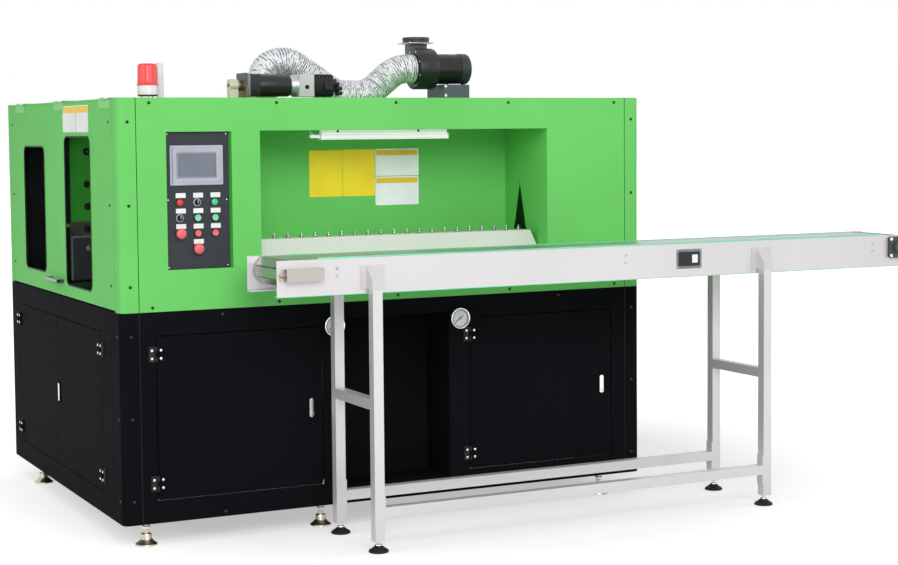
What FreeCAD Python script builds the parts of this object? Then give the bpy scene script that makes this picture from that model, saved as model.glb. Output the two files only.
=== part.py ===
import FreeCAD, Part
import math
import os

# Linear blow moulding machine with a slat conveyor in front of it. Millimetres.
# While it is being built up, x = 0 is the left side, y = 0 the front sheet and z = 0 the floor.
# At the end everything moves so that the origin lies under the middle of the whole footprint.

V = FreeCAD.Vector
X_AXIS = V(1, 0, 0)
Y_AXIS = V(0, 1, 0)
Z_AXIS = V(0, 0, 1)

# ---------------------------------------------------------------- driving dimensions
# cabinet
WIDTH = 2220.0
DEPTH = 1725.0
BODY_BOTTOM = 85.0
SEAM = 866.0
UPPER_HEIGHT = 782.0
ROOF = SEAM + UPPER_HEIGHT
SKIN = 2.0
TUBE = 60.0
CORNER_FRONT = 70.0
CORNER_SIDE = 60.0
LOWER_CORNER_SIDE = 120.0
CORNER_BEND = 26.0
POST_CUT = CORNER_BEND - SKIN + 0.5
SHEET_JOINT = 3.0
ROOF_DROP = 43.0
DECK = 20.0

# front recess
RECESS_LEFT = 548.0
RECESS_RIGHT = WIDTH - 439.0
RECESS_BOTTOM = SEAM + 182.0
RECESS_TOP = ROOF - 123.0
RECESS_DEPTH = 358.0
PASSAGE_WIDTH = 112.0
PASSAGE_SHOULDER = 52.0
PASSAGE_HEIGHT = 259.0
CHAIN_SLOT = 136.0
CHAIN_SLOT_HEIGHT = 46.0

# control panel
PANEL_LEFT = 184.0
PANEL_RIGHT = 436.0
PANEL_TOP = ROOF - 125.0
PANEL_BOTTOM = PANEL_TOP - 506.0
PANEL_SET_BACK = 14.0
PANEL_PLATE = 3.0
PANEL_LAP = 8.0
TERMINAL_WIDTH = 204.0
TERMINAL_HEIGHT = 147.0
TERMINAL_LEFT = 200.0
TERMINAL_BOTTOM = PANEL_TOP - 197.0
TERMINAL_PROUD = 8.0
TERMINAL_BODY = 38.0
TERMINAL_CORNER = 3.0
SCREEN_WIDTH = 146.0
SCREEN_HEIGHT = 85.0
BUTTON_COLUMNS = (236.0, 303.0, 370.0)
BUTTON_TOP_ROW = PANEL_TOP - 260.0
BUTTON_ROW_PITCH = 57.0
BUTTON_HOLE_R = 11.4
BUTTON_STEM_R = 10.2
BUTTON_SIDES = 8
BEZEL_R = 14.8
BEZEL_THICK = 4.0
BUTTON_PROUD = 3.0
BUTTON_TRAVEL = 4.0
MUSHROOM_R = 20.0
MUSHROOM_PROUD = 24.0
MUSHROOM_HEAD = 15.0
KNOB_PROUD = 12.0
CONTACT_BLOCK = 30.0
CONTACT_DEPTH = 44.0

# lower cabinet
BAY_DEPTH = 203.0
KICK_HEIGHT = 66.0
KICK_SHORT = 88.0
LOUVRE_WIDTH = 260.0
LOUVRE_SLOT = 9.0
LOUVRE_PITCH = 30.0
UPPER_LOUVRES = 8
UPPER_LOUVRE_RISE = 314.0
LOWER_LOUVRES = 6
LOWER_LOUVRE_RISE = 175.0
PARTITION_SHORT = 78.0
DOOR_BOTTOM = BODY_BOTTOM + 87.0
DOOR_TOP = SEAM - 91.0
DOOR_PAN = 20.0
DOOR_GAP = 3.0
LEFT_DOOR = (134.0, 786.0)
RIGHT_DOOR = (WIDTH - 796.0, WIDTH - 142.0)
SIDE_LEAF_FRONT = (262.0, 923.5)
SIDE_LEAF_REAR = (SIDE_LEAF_FRONT[1] + DOOR_GAP, DEPTH - 170.0)
BAY_LEFT = LEFT_DOOR[1] + 92.0
BAY_RIGHT = RIGHT_DOOR[0] - 93.0
BAY_TOP = SEAM - 60.0
GAUGE_R = 42.5
GAUGE_DEEP = 20.0
GAUGE_RIM = 4.0
GAUGE_SIDES = 14
GAUGE_Z = SEAM - 89.0
GAUGE_OFFSET = 43.0

# hinges and locks of the lower doors
KNUCKLE_R = 4.0
KNUCKLE_SIDES = 6
HINGE_STAND = 6.0
HINGE_LEAF = 27.0
HINGE_LEAF_THICK = 2.5
HINGE_HEIGHT = 56.0
HINGE_LOW_Z = DOOR_BOTTOM + 61.0
HINGE_HIGH_Z = DOOR_TOP - 64.0
KNUCKLE_GAP = 0.4
LOCK_Z = DOOR_BOTTOM + 296.0
LOCK_INSET = 45.0
LOCK_WIDTH = 28.0
LOCK_HEIGHT = 92.0
LOCK_PROUD = 3.0
LOCK_CUP = 14.0
LOCK_CORNER = 9.0
PADDLE_WIDTH = 18.0
PADDLE_HEIGHT = 72.0
PADDLE_THICK = 7.0
PADDLE_PIN_R = 1.5
PADDLE_PIN_DROP = 6.0

# gull-wing doors
GULL_FRONT = 63.0
GULL_REAR = DEPTH - 63.0
GULL_BOTTOM = SEAM + 6.0
GULL_TOP = ROOF - 8.0
GULL_HINGES_Y = (150.0, 811.0, DEPTH - 255.0)
GULL_HINGE_LENGTH = 150.0
GULL_HINGE_DROP = 36.0
WINDOW_NEAR = (365.0, 738.0, SEAM + 54.0, ROOF - 141.0)
WINDOW_FAR = (DEPTH - 657.0, DEPTH - 309.0, SEAM + 82.0, ROOF - 182.0)
WINDOW_CORNER = 32.0
PANE_LAP = 14.0
PANE_THICK = 5.0
PULL_Y = 890.0
PULL_Z = GULL_BOTTOM + 57.0
PULL_LENGTH = 200.0
PULL_REACH = 30.0
PULL_THICK = 14.0
PULL_EDGE = 4.0
PULL_FOOT = 24.0

# spindle rail, chain and spindles
RAIL_Y = 80.0
RAIL_SHEET = 3.0
RAIL_TOP = RECESS_BOTTOM + 64.0
RAIL_FLANGE = 70.0
RAIL_END_SLOPE = 31.0
RAIL_CLEAR = 5.0
SPINDLE_Y = 232.0
SPINDLE_PITCH = 57.15
SPINDLE_LAST_X = RECESS_RIGHT - 7.5
SPINDLE_COUNT = int((SPINDLE_LAST_X - RECESS_LEFT - 60.0) / SPINDLE_PITCH) + 1
SPINDLE_BASE = (34.0, 30.0, 10.0)
SPINDLE_R = 12.0
SPINDLE_TIP_R = 4.5
SPINDLE_CONE = 48.0
SPINDLE_SIDES = 6
CHAIN_Z = RECESS_BOTTOM + 14.0
CHAIN_THICK = 12.0
CHAIN_WIDTH = 20.0
CHAIN_TURN_R = 109.3
CHAIN_LEFT_X = 405.0
CHAIN_RIGHT_X = WIDTH - 296.0
CHAIN_SHAFT_R = 15.0
CHAIN_BEARING = (110.0, 25.0)
WHEEL_SIDES = 20
BAR_SIDES = 8
GUIDE_WIDTH = 40.0

# recess lamp
LAMP_X = (RECESS_LEFT + 274.0, RECESS_LEFT + 814.0)
LAMP_Y = 60.0
LAMP_SIZE = (30.0, 24.0)
LAMP_DROP = 13.0
LAMP_CONNECTOR = 42.0
LAMP_EDGE = 6.0
LAMP_CLIP = 20.0

# machine feet
FOOT_R = 45.0
FOOT_RIM = 6.0
FOOT_COLLAR_R = 21.0
FOOT_CONE_TOP = 24.0
FOOT_COLLAR_TOP = 44.0
FOOT_STUD_R = 9.0
FOOT_SIDES = 8
FRONT_FEET_X = (95.0, 790.0, WIDTH - 175.0)
FRONT_FEET_Y = 44.0
SIDE_FEET_Y = DEPTH - 314.0

# beacon and conduit
BEACON_X = 133.0
BEACON_Y = 46.0
BEACON_R = 38.0
BEACON_STUDS = 9.0
BEACON_BASE = 36.0
BEACON_LENS = 79.0
BEACON_STEP = 8.0
BEACON_SIDES = 16
CONDUIT = 22.0
CONDUIT_X = 194.0
CONDUIT_Y = 112.0
CONDUIT_TOP = ROOF + 130.0

# gearmotor and drive lever
DRIVE_Y = 450.0
DRIVE_Z = ROOF + 57.0
LEVER_X = (588.0, 622.0)
LEVER_WIDTH = 38.0
LEVER_REACH = 185.0
LEVER_BOSS_R = 19.0
DRIVE_SHAFT_R = 12.0
DRIVE_BORE = 30.0
BRACKET_X = (641.0, 649.0)
BRACKET_WIDTH = 110.0
GEARBOX_X = (649.0, 720.0)
GEARBOX_HALF = 45.0
BARREL_END_X = 861.0
ADAPTOR_END_X = 892.0
FLANGE_END_X = 957.0
ENCODER_END_X = 1089.0

# blower
BLOWER_Y = 620.0
BLOWER_Z = ROOF + 135.0
SCROLL_X = (1478.0, 1566.0)
SCROLL_R = 87.5
SCROLL_WALL = 2.0
INLET_R = 56.0
NECK_DEEP = 56.0
NECK_INSET = 4.0
NECK_TOP = BLOWER_Z + 109.0
OUTLET_FLANGE = 118.0
OUTLET_FLANGE_THICK = 4.0
OUTLET_CAP_R = 58.5
OUTLET_CAP = 24.0
MOTOR_R = 64.5
MOTOR_END_X = 1688.0
FAN_COVER_END_X = 1732.0
FAN_COVER_R = 66.5
FAN_COVER_EASE = 10.0
DRUM_SIDES = 24
MOTOR_BORE = 25.0
PEDESTAL_SHEET = 3.0
CHOCK = 16.0
CHOCK_OUT = 26.0
IMPELLER_R = 70.0
IMPELLER_EYE_R = 52.0
IMPELLER_BLADES = 10
IMPELLER_SIDES = 12
IMPELLER_CLEAR = 6.0
MOTOR_SHAFT_R = 7.0
BLOWER_BRACKET = (1580.0, 1686.0, 556.0, 720.0)

# aluminium duct
DUCT_R = 62.5
DUCT_ROOT_R = 58.0
DUCT_BORE_R = 54.0
DUCT_RIBS = 16
DUCT_SIDES = 12
DUCT_ROUTE = ((795.0, ROOF - ROOF_DROP + SKIN), (795.0, ROOF + 127.0), (890.0, ROOF + 174.0),
              (1122.0, ROOF + 23.0), (1265.0, ROOF + 25.0),
              (SCROLL_X[0] - 78.0, BLOWER_Z), (SCROLL_X[0], BLOWER_Z))
DUCT_TANGENTS = (43.5, 62.0, 44.0, 44.0, 48.0)

# running clearance of shafts in their bores
RUNNING = 0.05
# a four-cornered side within this much of flat stays whole
FLATNESS = 1e-4

# oven, clamp and stretching unit behind the recess
OVEN_X = (RECESS_LEFT + 32.0, RECESS_RIGHT - 31.0)
OVEN_FRONT_Y = 380.0
OVEN_WIDTH = 140.0
OVEN_SHEET = 4.0
OVEN_LAMP_R = 5.0
OVEN_LAMP_SIDES = 6
OVEN_LAMP_GAP = 22.0
OVEN_LAMP_ROWS = 4
OVEN_LAMP_PITCH = 42.0
OVEN_LAMP_Z = CHAIN_Z + 56.0
OVEN_TOP = OVEN_LAMP_Z + 302.0
PLATEN_Y = (800.0, 1200.0)
PLATEN_Z = (SEAM + 84.0, SEAM + 484.0)
PLATEN_THICK = 40.0
REAR_PLATEN_X = 320.0
MOVING_PLATEN_X = 560.0
PARTING_X = 661.0
MOULD_GAP = 0.5
MOULD_THICK = 60.0
MOULD_Y = (900.0, 1100.0)
MOULD_Z = (PLATEN_Z[0] + 50.0, PLATEN_Z[1] - 50.0)
CAVITY_PITCH = 80.0
CAVITY_R = 32.0
CAVITY_NECK_R = 14.0
CAVITY_HEIGHT = 220.0
TIE_BAR_R = 20.0
TIE_BAR_INSET = 40.0
RAM_R = 30.0
CYLINDER_R = 55.0
CYLINDER_X = (130.0, 320.0)
CLAMP_STROKE = 140.0
STRETCH_Z = PLATEN_Z[1] + 150.0
STRETCH_THICK = 20.0
COLUMN_R = 15.0
COLUMN_TOP = ROOF - ROOF_DROP - 5.0
STRETCH_ROD_R = 6.0
STRETCH_ROD_TIP = MOULD_Z[1] + 60.0
DRIVE_BOX_WIDTH = 212.0
DRIVE_BOX_HEIGHT = 172.0
BED_THICK = 64.0
SWITCH_PLATE_X = 200.0
SWITCH_PLATE_Y = 420.0
GEAR_ROWS = 3
GEAR_COLUMNS = 4
GEAR_DEEP = 70.0
TANK_R = 190.0
TANK_LENGTH = 880.0
TANK_RISE = 95.0
TANK_Y = 1000.0
TANK_FROM_RIGHT = 90.0
TANK_SADDLES = (0.16, 0.8)
SADDLE_WIDTH = 40.0

# conveyor
CONVEYOR_X = (435.0, 3270.0)
CONVEYOR_Y = (-447.0, -147.0)
CONVEYOR_TOP = RECESS_BOTTOM + 20.0
CONVEYOR_RAIL = 128.0
RAIL_PLATE = 3.0
RAIL_LIP = 20.0
TAIL_X = CONVEYOR_X[0] + 75.0
HEAD_X = CONVEYOR_X[1] - 66.0
SLAT_PITCH = 38.1
SLAT_GAP = 1.6
SLAT_THICK = 3.0
SLAT_DROP = 2.0
BELT_TURN_R = 48.0
BELT_SIDE_GAP = 15.0
STRIP_X = (CONVEYOR_X[0] + 157.0, CONVEYOR_X[1] - 140.0)
STRIP_WIDTH = 11.0
STRIP_THICK = 8.0
EDGE_TRIM = 3.0
TIE_X = (900.0, 1450.0, 2000.0, 2700.0)
TIE_SIZE = 20.0
SLIDE_BAR = 14.0
SLIDE_BAR_INSET = 60.0
CONVEYOR_SHAFT_R = 12.5
CONVEYOR_SHAFT_OUT = 22.0
DRIVE_END_R = 12.0
SHAFT_FLATS = 8
SPROCKET_INSET = 26.0
TAIL_SHAFT_REACH = 18.0
SPROCKET_R = 46.0
SPROCKET_ROOT_R = 38.0
SPROCKET_TEETH = 6
SPROCKET_WIDTH = 12.0
BEARING_SIZE = 88.0
BEARING_THICK = 14.0
BEARING_HUB_R = 26.0
BEARING_HUB = 12.0
TAKE_UP_X = (TAIL_X - 49.0, TAIL_X + 93.0)
TAKE_UP_HEIGHT = 44.0
TAKE_UP_DEEP = 32.0
TAKE_UP_SHEET = 2.0
TAKE_UP_SCREW = (5.0, 46.0)
CARRIER = (44.0, 38.0)

# conveyor stand
LEG = 38.0
LEG_FRAMES_X = (CONVEYOR_X[0] + 347.0, CONVEYOR_X[1] - 777.0)
LEG_CLEAR = 8.0
LEG_BOTTOM = 41.0
LEG_TOP = CONVEYOR_TOP - 92.0
CROSSBAR_Z = 518.0
STRETCHER_Z = 127.0
END_PLATE = 4.0
END_PLATE_HEIGHT = 120.0
HAT_SHEET = 3.0
HAT_FLANGE = 26.0
HAT_Z = (CONVEYOR_TOP - 113.0, CONVEYOR_TOP - 28.0)
HAT_FRONT_TOP = CONVEYOR_TOP - 83.0
PAD_R = 37.0
PAD_RIM = 8.0
PAD_CONE_TOP = 22.0
PAD_BALL_R = 14.0
PAD_BALL_TOP = 30.0
PAD_STUD_R = 8.0

# ---------------------------------------------------------------- helpers
parts = {}


def block(x, y, z):
    """A rectangular bar between three (low, high) pairs."""
    return Part.makeBox(x[1] - x[0], y[1] - y[0], z[1] - z[0], V(x[0], y[0], z[0]))


def rod(start, axis, radius, length):
    return Part.makeCylinder(radius, length, start, axis)


def prism(points, direction):
    """A straight prism on a closed outline of points."""
    face = Part.Face(Part.makePolygon(points + [points[0]]))
    return face.extrude(direction)


def ring_points(radius, height, sides):
    """Corners of an even polygon, with a flat towards +x."""
    step = 2 * math.pi / sides
    turns = [step * (i + 0.5) for i in range(sides)]
    return [V(radius * math.cos(turn), radius * math.sin(turn), height) for turn in turns]


def flat_face(points):
    return Part.Face(Part.makePolygon(points + [points[0]]))


def many_sided(outline, start, axis, sides):
    """A turned form in flat sides: (radius, height) from foot to top, set on start along axis."""
    rings = [ring_points(radius, height, sides) for radius, height in outline]
    faces = [flat_face(rings[0]), flat_face(rings[-1])]
    for low, high in zip(rings, rings[1:]):
        for i in range(sides):
            j = (i + 1) % sides
            faces.append(flat_face([low[i], low[j], high[j], high[i]]))
    solid = Part.Solid(Part.Shell(faces)).removeSplitter()
    if solid.Volume < 0:
        solid.reverse()
    solid.Placement = FreeCAD.Placement(start, FreeCAD.Rotation(Z_AXIS, axis))
    return solid


def flat_rod(start, axis, radius, length, sides):
    """A bar in flat sides, radius to its corners."""
    return many_sided([(radius, 0), (radius, length)], start, axis, sides)


def flat_bore(start, axis, radius, length, sides):
    """A flat-sided hole that a round bar of the radius passes through."""
    return flat_rod(start, axis, radius / math.cos(math.pi / sides), length, sides)


def joined(shapes):
    """One solid from touching shapes."""
    whole = shapes[0].multiFuse(shapes[1:]) if len(shapes) > 1 else shapes[0]
    return whole.removeSplitter()


def group(shapes):
    """Separate solids that share a node."""
    return Part.makeCompound(shapes)


def mirrored_x(shape, x):
    return shape.mirror(V(x, 0, 0), X_AXIS)


def mirrored_y(shape, y):
    return shape.mirror(V(0, y, 0), Y_AXIS)


def rounded_bar(u, v, w, radius, thin):
    """A block whose four edges along one axis (thin = 'x', 'y' or 'z') are rounded."""
    bar = block(u, v, w)
    axis = {"x": X_AXIS, "y": Y_AXIS, "z": Z_AXIS}[thin]
    edges = []
    for edge in bar.Edges:
        run = edge.Vertexes[1].Point - edge.Vertexes[0].Point
        if abs(run.normalize() * axis) > 0.99:
            edges.append(edge)
    return bar.makeFillet(radius, edges)


def cut_cornered(u, v, w, corner, thin):
    """A block whose four edges along one axis are cut off at 45 degrees."""
    bar = block(u, v, w)
    axis = {"x": X_AXIS, "y": Y_AXIS, "z": Z_AXIS}[thin]
    edges = []
    for edge in bar.Edges:
        run = edge.Vertexes[1].Point - edge.Vertexes[0].Point
        if abs(run.normalize() * axis) > 0.99:
            edges.append(edge)
    return bar.makeChamfer(corner, edges)


# ---------------------------------------------------------------- cabinet frame and sheets
def machine_frame():
    """Square-tube frame of separate welded bars, with the deck and the floor plate."""
    bars = []
    post_x = ((SKIN, SKIN + TUBE), (WIDTH - SKIN - TUBE, WIDTH - SKIN))
    post_y = ((SKIN, SKIN + TUBE), (DEPTH - SKIN - TUBE, DEPTH - SKIN))
    rings = (BODY_BOTTOM, SEAM - TUBE, ROOF - TUBE)
    left = corner_post()
    right = mirrored_x(left, WIDTH / 2)
    bars += [left, right, mirrored_y(left, DEPTH / 2), mirrored_y(right, DEPTH / 2)]
    for z in rings:
        for y in post_y:
            bars.append(block((post_x[0][1], post_x[1][0]), y, (z, z + TUBE)))
        for x in side_bars_x():
            bars.append(block(x, (post_y[0][1], post_y[1][0]), (z, z + TUBE)))
    deck_x = (side_bars_x()[0][0], side_bars_x()[1][1])
    deck = block(deck_x, (post_y[0][1], post_y[1][0]), (SEAM, SEAM + DECK))
    floor_y = (BAY_DEPTH + SKIN, DEPTH - SKIN - TUBE)
    floor_x = (side_bars_x()[0][1], side_bars_x()[1][0])
    floor_z = (BODY_BOTTOM + TUBE - SKIN, BODY_BOTTOM + TUBE)
    floor = block(floor_x, floor_y, floor_z)
    return group(bars + [deck, floor])


def corner_post():
    """Corner tube whose outer edge is cut back behind the bend of the corner sheet."""
    low = SKIN
    high = SKIN + TUBE
    outline = [V(low + POST_CUT, low, BODY_BOTTOM), V(high, low, BODY_BOTTOM), V(high, high, BODY_BOTTOM),
               V(low, high, BODY_BOTTOM), V(low, low + POST_CUT, BODY_BOTTOM)]
    return prism(outline, V(0, 0, ROOF - BODY_BOTTOM))


def side_bars_x():
    """Side bars stand behind the pans of the side doors."""
    left = DOOR_PAN + SKIN
    return ((left, left + TUBE), (WIDTH - left - TUBE, WIDTH - left))


def corner_cover(side_leg, low, high):
    """Bent corner sheet of the front left corner, before mirroring."""
    height = high - low
    outer = block((0, CORNER_FRONT), (0, side_leg), (low, high))
    inner = block((SKIN, CORNER_FRONT + SKIN), (SKIN, side_leg + SKIN), (low, high))
    outer_edges = [edge for edge in outer.Edges if near_corner(edge, 0, 0, height)]
    inner_edges = [edge for edge in inner.Edges if near_corner(edge, SKIN, SKIN, height)]
    outer = outer.makeFillet(CORNER_BEND, outer_edges)
    inner = inner.makeFillet(CORNER_BEND - SKIN, inner_edges)
    return outer.cut(inner)


def near_corner(edge, x, y, height):
    middle = edge.CenterOfMass
    upright = abs(edge.Length - height) < 0.001
    return upright and abs(middle.x - x) < 0.001 and abs(middle.y - y) < 0.001


def four_corners(side_leg, low, high):
    front_left = corner_cover(side_leg, low, high)
    front_right = mirrored_x(front_left, WIDTH / 2)
    back = [mirrored_y(cover, DEPTH / 2) for cover in (front_left, front_right)]
    return group([front_left, front_right] + back)


def between_corners():
    """Front and back sheets end a joint's width short of the corner sheets."""
    return (CORNER_FRONT + SHEET_JOINT, WIDTH - CORNER_FRONT - SHEET_JOINT)


def upper_front_panel():
    """Green front sheet with the panel window, its folded reveal and the recess opening."""
    sheet = block(between_corners(), (0, SKIN), (SEAM, ROOF))
    window = block((PANEL_LEFT, PANEL_RIGHT), (0, SKIN), (PANEL_BOTTOM, PANEL_TOP))
    recess = block((RECESS_LEFT, RECESS_RIGHT), (0, SKIN), (RECESS_BOTTOM, RECESS_TOP))
    reveal_y = (SKIN, PANEL_SET_BACK)
    outer = block((PANEL_LEFT - SKIN, PANEL_RIGHT + SKIN), reveal_y, (PANEL_BOTTOM - SKIN, PANEL_TOP + SKIN))
    inner = block((PANEL_LEFT, PANEL_RIGHT), reveal_y, (PANEL_BOTTOM, PANEL_TOP))
    return joined([sheet.cut(window).cut(recess), outer.cut(inner)])


def passage(x):
    """Preform passage in a side wall: straight foot, then sides that meet in a point."""
    low = SPINDLE_Y - PASSAGE_WIDTH / 2
    high = SPINDLE_Y + PASSAGE_WIDTH / 2
    foot = RECESS_BOTTOM
    shoulder = RECESS_BOTTOM + PASSAGE_SHOULDER
    tip = RECESS_BOTTOM + PASSAGE_HEIGHT
    outline = [V(x[0], low, foot), V(x[0], high, foot), V(x[0], high, shoulder),
               V(x[0], SPINDLE_Y, tip), V(x[0], low, shoulder)]
    return prism(outline, V(x[1] - x[0], 0, 0))


def recess_liner():
    """Folded box open at the front, 2 mm sheet."""
    back = RECESS_DEPTH
    outer_x = (RECESS_LEFT - SKIN, RECESS_RIGHT + SKIN)
    outer = block(outer_x, (SKIN, back + SKIN), (RECESS_BOTTOM - SKIN, RECESS_TOP + SKIN))
    inner = block((RECESS_LEFT, RECESS_RIGHT), (SKIN, back), (RECESS_BOTTOM, RECESS_TOP))
    slot = block((RECESS_RIGHT - CHAIN_SLOT, RECESS_RIGHT), (back, back + SKIN),
                 (RECESS_BOTTOM + SKIN, RECESS_BOTTOM + SKIN + CHAIN_SLOT_HEIGHT))
    left = passage((RECESS_LEFT - SKIN, RECESS_LEFT))
    right = passage((RECESS_RIGHT, RECESS_RIGHT + SKIN))
    return outer.cut(inner).cut(slot).cut(left).cut(right)


def roof_and_back_sheets():
    """Recessed roof sheet, upper back sheet with louvres and the inner partition."""
    frame_in = SKIN + TUBE
    roof_z = (ROOF - ROOF_DROP, ROOF - ROOF_DROP + SKIN)
    side_in = side_bars_x()[0][1]
    roof = block((side_in, WIDTH - side_in), (frame_in, DEPTH - frame_in), roof_z)
    lever_slot = block((LEVER_X[0] - 6, LEVER_X[1] + 6), (DRIVE_Y - 62, DRIVE_Y + 62), roof_z)
    duct_hole = flat_rod(V(DUCT_ROUTE[0][0], BLOWER_Y, roof_z[0]), Z_AXIS, DUCT_BORE_R, SKIN, WHEEL_SIDES)
    roof = roof.cut(lever_slot).cut(duct_hole)
    back = block(between_corners(), (DEPTH - SKIN, DEPTH), (SEAM, ROOF))
    louvres = []
    for column in (WIDTH / 4, WIDTH * 3 / 4):
        louvres += louvre_field(column, SEAM + UPPER_LOUVRE_RISE, UPPER_LOUVRES)
    back = back.cut(group(louvres))
    partition_y = (PLATEN_Y[1] + 60.0, PLATEN_Y[1] + 60.0 + SKIN)
    partition = block((side_in, RECESS_LEFT - PARTITION_SHORT), partition_y, (SEAM + DECK, ROOF - ROOF_DROP))
    return group([roof, back, partition])


def louvre_field(middle, low, count):
    """Slots through the back sheet, one above the other."""
    slots = []
    half = LOUVRE_WIDTH / 2
    for row in range(count):
        z = low + LOUVRE_PITCH * row
        slots.append(block((middle - half, middle + half), (DEPTH - SKIN, DEPTH), (z, z + LOUVRE_SLOT)))
    return slots


def lower_front_panel():
    """Black front sheet with the bay and the openings of the two doors."""
    sheet = block(between_corners(), (0, SKIN), (BODY_BOTTOM, SEAM))
    door_z = (DOOR_BOTTOM - DOOR_GAP, DOOR_TOP + DOOR_GAP)
    for door in (LEFT_DOOR, RIGHT_DOOR):
        sheet = sheet.cut(block((door[0] - DOOR_GAP, door[1] + DOOR_GAP), (0, SKIN), door_z))
    bay = block((BAY_LEFT, BAY_RIGHT), (0, SKIN), (BODY_BOTTOM + TUBE, BAY_TOP))
    return sheet.cut(bay)


def lower_panels():
    """Bay liner, side sheets and back sheet of the black cabinet."""
    bay_z = (BODY_BOTTOM + TUBE, BAY_TOP)
    start = SKIN + TUBE
    outer = block((BAY_LEFT - SKIN, BAY_RIGHT + SKIN), (SKIN, BAY_DEPTH + SKIN), bay_z)
    inner = block((BAY_LEFT, BAY_RIGHT), (SKIN, BAY_DEPTH), (bay_z[0], bay_z[1] - SKIN))
    kick_z = (BODY_BOTTOM + TUBE, BODY_BOTTOM + TUBE + KICK_HEIGHT)
    kick = block((BAY_LEFT, BAY_RIGHT - KICK_SHORT), (BAY_DEPTH - SKIN, BAY_DEPTH), kick_z)
    liner = joined([outer.cut(inner), kick])
    side_y = (LOWER_CORNER_SIDE + SHEET_JOINT, DEPTH - LOWER_CORNER_SIDE - SHEET_JOINT)
    left = block((0, SKIN), side_y, (BODY_BOTTOM, SEAM))
    opening_y = (SIDE_LEAF_FRONT[0] - DOOR_GAP, SIDE_LEAF_REAR[1] + DOOR_GAP)
    left = left.cut(block((0, SKIN), opening_y, (DOOR_BOTTOM - DOOR_GAP, DOOR_TOP + DOOR_GAP)))
    right = block((WIDTH - SKIN, WIDTH), side_y, (BODY_BOTTOM, SEAM))
    back = block(between_corners(), (DEPTH - SKIN, DEPTH), (BODY_BOTTOM, SEAM))
    louvres = louvre_field(WIDTH / 2, BODY_BOTTOM + LOWER_LOUVRE_RISE, LOWER_LOUVRES)
    sill = block((BAY_LEFT, BAY_RIGHT), (start, BAY_DEPTH), (BODY_BOTTOM + TUBE - SKIN, BODY_BOTTOM + TUBE))
    return group([liner, left, right, back.cut(group(louvres)), sill])


# ---------------------------------------------------------------- doors, hinges and locks
def knuckle(start, axis, length):
    return flat_rod(start, axis, KNUCKLE_R, length, KNUCKLE_SIDES)


def hinge_pair(length):
    """Surface hinge in its own frame: pin along z, fixed leaf on -x, moving leaf on +x.

    The sheet that carries it lies at y = HINGE_STAND. The fixed leaf holds the outer
    thirds of the knuckle and the moving leaf the middle third.
    """
    leaf_in = 2.8
    leaf_y = (HINGE_STAND - HINGE_LEAF_THICK, HINGE_STAND)
    third = length / 3
    fixed = [block((-HINGE_LEAF, -leaf_in), leaf_y, (0, length))]
    moving = [block((leaf_in, HINGE_LEAF), leaf_y, (0, length))]
    for low, high in ((0, third - KNUCKLE_GAP), (2 * third + KNUCKLE_GAP, length)):
        fixed.append(knuckle(V(0, 0, low), Z_AXIS, high - low))
        fixed.append(block((-leaf_in, 0), (1, HINGE_STAND), (low, high)))
    low, high = third, 2 * third
    moving.append(knuckle(V(0, 0, low), Z_AXIS, high - low))
    moving.append(block((0, leaf_in), (1, HINGE_STAND), (low, high)))
    return joined(fixed), joined(moving)


def placed(shape, origin, x_dir, y_dir):
    """Move a shape from its own frame to origin, with its x and y along the given ways."""
    z_dir = x_dir.cross(y_dir)
    matrix = FreeCAD.Matrix(x_dir.x, y_dir.x, z_dir.x, origin.x,
                            x_dir.y, y_dir.y, z_dir.y, origin.y,
                            x_dir.z, y_dir.z, z_dir.z, origin.z, 0, 0, 0, 1)
    copy = shape.copy()
    copy.Placement = FreeCAD.Placement(matrix)
    return copy


def door_pan(u, v, w, thin):
    """Sheet pan: a face and four folded edges, open at the back. thin gives the depth axis."""
    outer = block(u, v, w)
    if thin == "y":
        inner = block((u[0] + SKIN, u[1] - SKIN), (v[0] + SKIN, v[1]), (w[0] + SKIN, w[1] - SKIN))
    else:
        inner = block((u[0] + SKIN, u[1]), (v[0] + SKIN, v[1] - SKIN), (w[0] + SKIN, w[1] - SKIN))
    return outer.cut(inner)


def lock_cup(origin, x_dir, y_dir):
    """Raised lock plate and the cup behind it, with the pocket that the paddle lies in.

    In its own frame x runs across the door, y into it and z is up.
    """
    half_w = LOCK_WIDTH / 2
    half_h = LOCK_HEIGHT / 2
    plate = cut_cornered((-half_w, half_w), (-LOCK_PROUD, 0), (-half_h, half_h), LOCK_CORNER, "y")
    cup = block((-half_w + 2, half_w - 2), (0, LOCK_CUP), (-half_h + 6, half_h - 6))
    return placed(joined([plate, cup]), origin, x_dir, y_dir)


def lock_pocket(origin, x_dir, y_dir):
    half_w = PADDLE_WIDTH / 2 + 1
    half_h = PADDLE_HEIGHT / 2 + 1
    pocket = block((-half_w, half_w), (-LOCK_PROUD - 1, LOCK_CUP - 2), (-half_h, half_h))
    return placed(pocket, origin, x_dir, y_dir)


def lock_paddle(origin, x_dir, y_dir):
    """Paddle that lifts out at its lower end about a cross pin near its upper end."""
    half_w = PADDLE_WIDTH / 2
    half_h = PADDLE_HEIGHT / 2
    thick = (-LOCK_PROUD - 1, PADDLE_THICK - LOCK_PROUD - 1)
    paddle = cut_cornered((-half_w, half_w), thick, (-half_h, half_h), LOCK_CORNER / 2, "y")
    end = PADDLE_PIN_R / 2
    pin_start = V(-half_w - end, (thick[0] + thick[1]) / 2, half_h - PADDLE_PIN_DROP)
    pin = flat_rod(pin_start, X_AXIS, PADDLE_PIN_R, PADDLE_WIDTH + 2 * end, BAR_SIDES)
    return placed(joined([paddle, pin]), origin, x_dir, y_dir)


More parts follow.
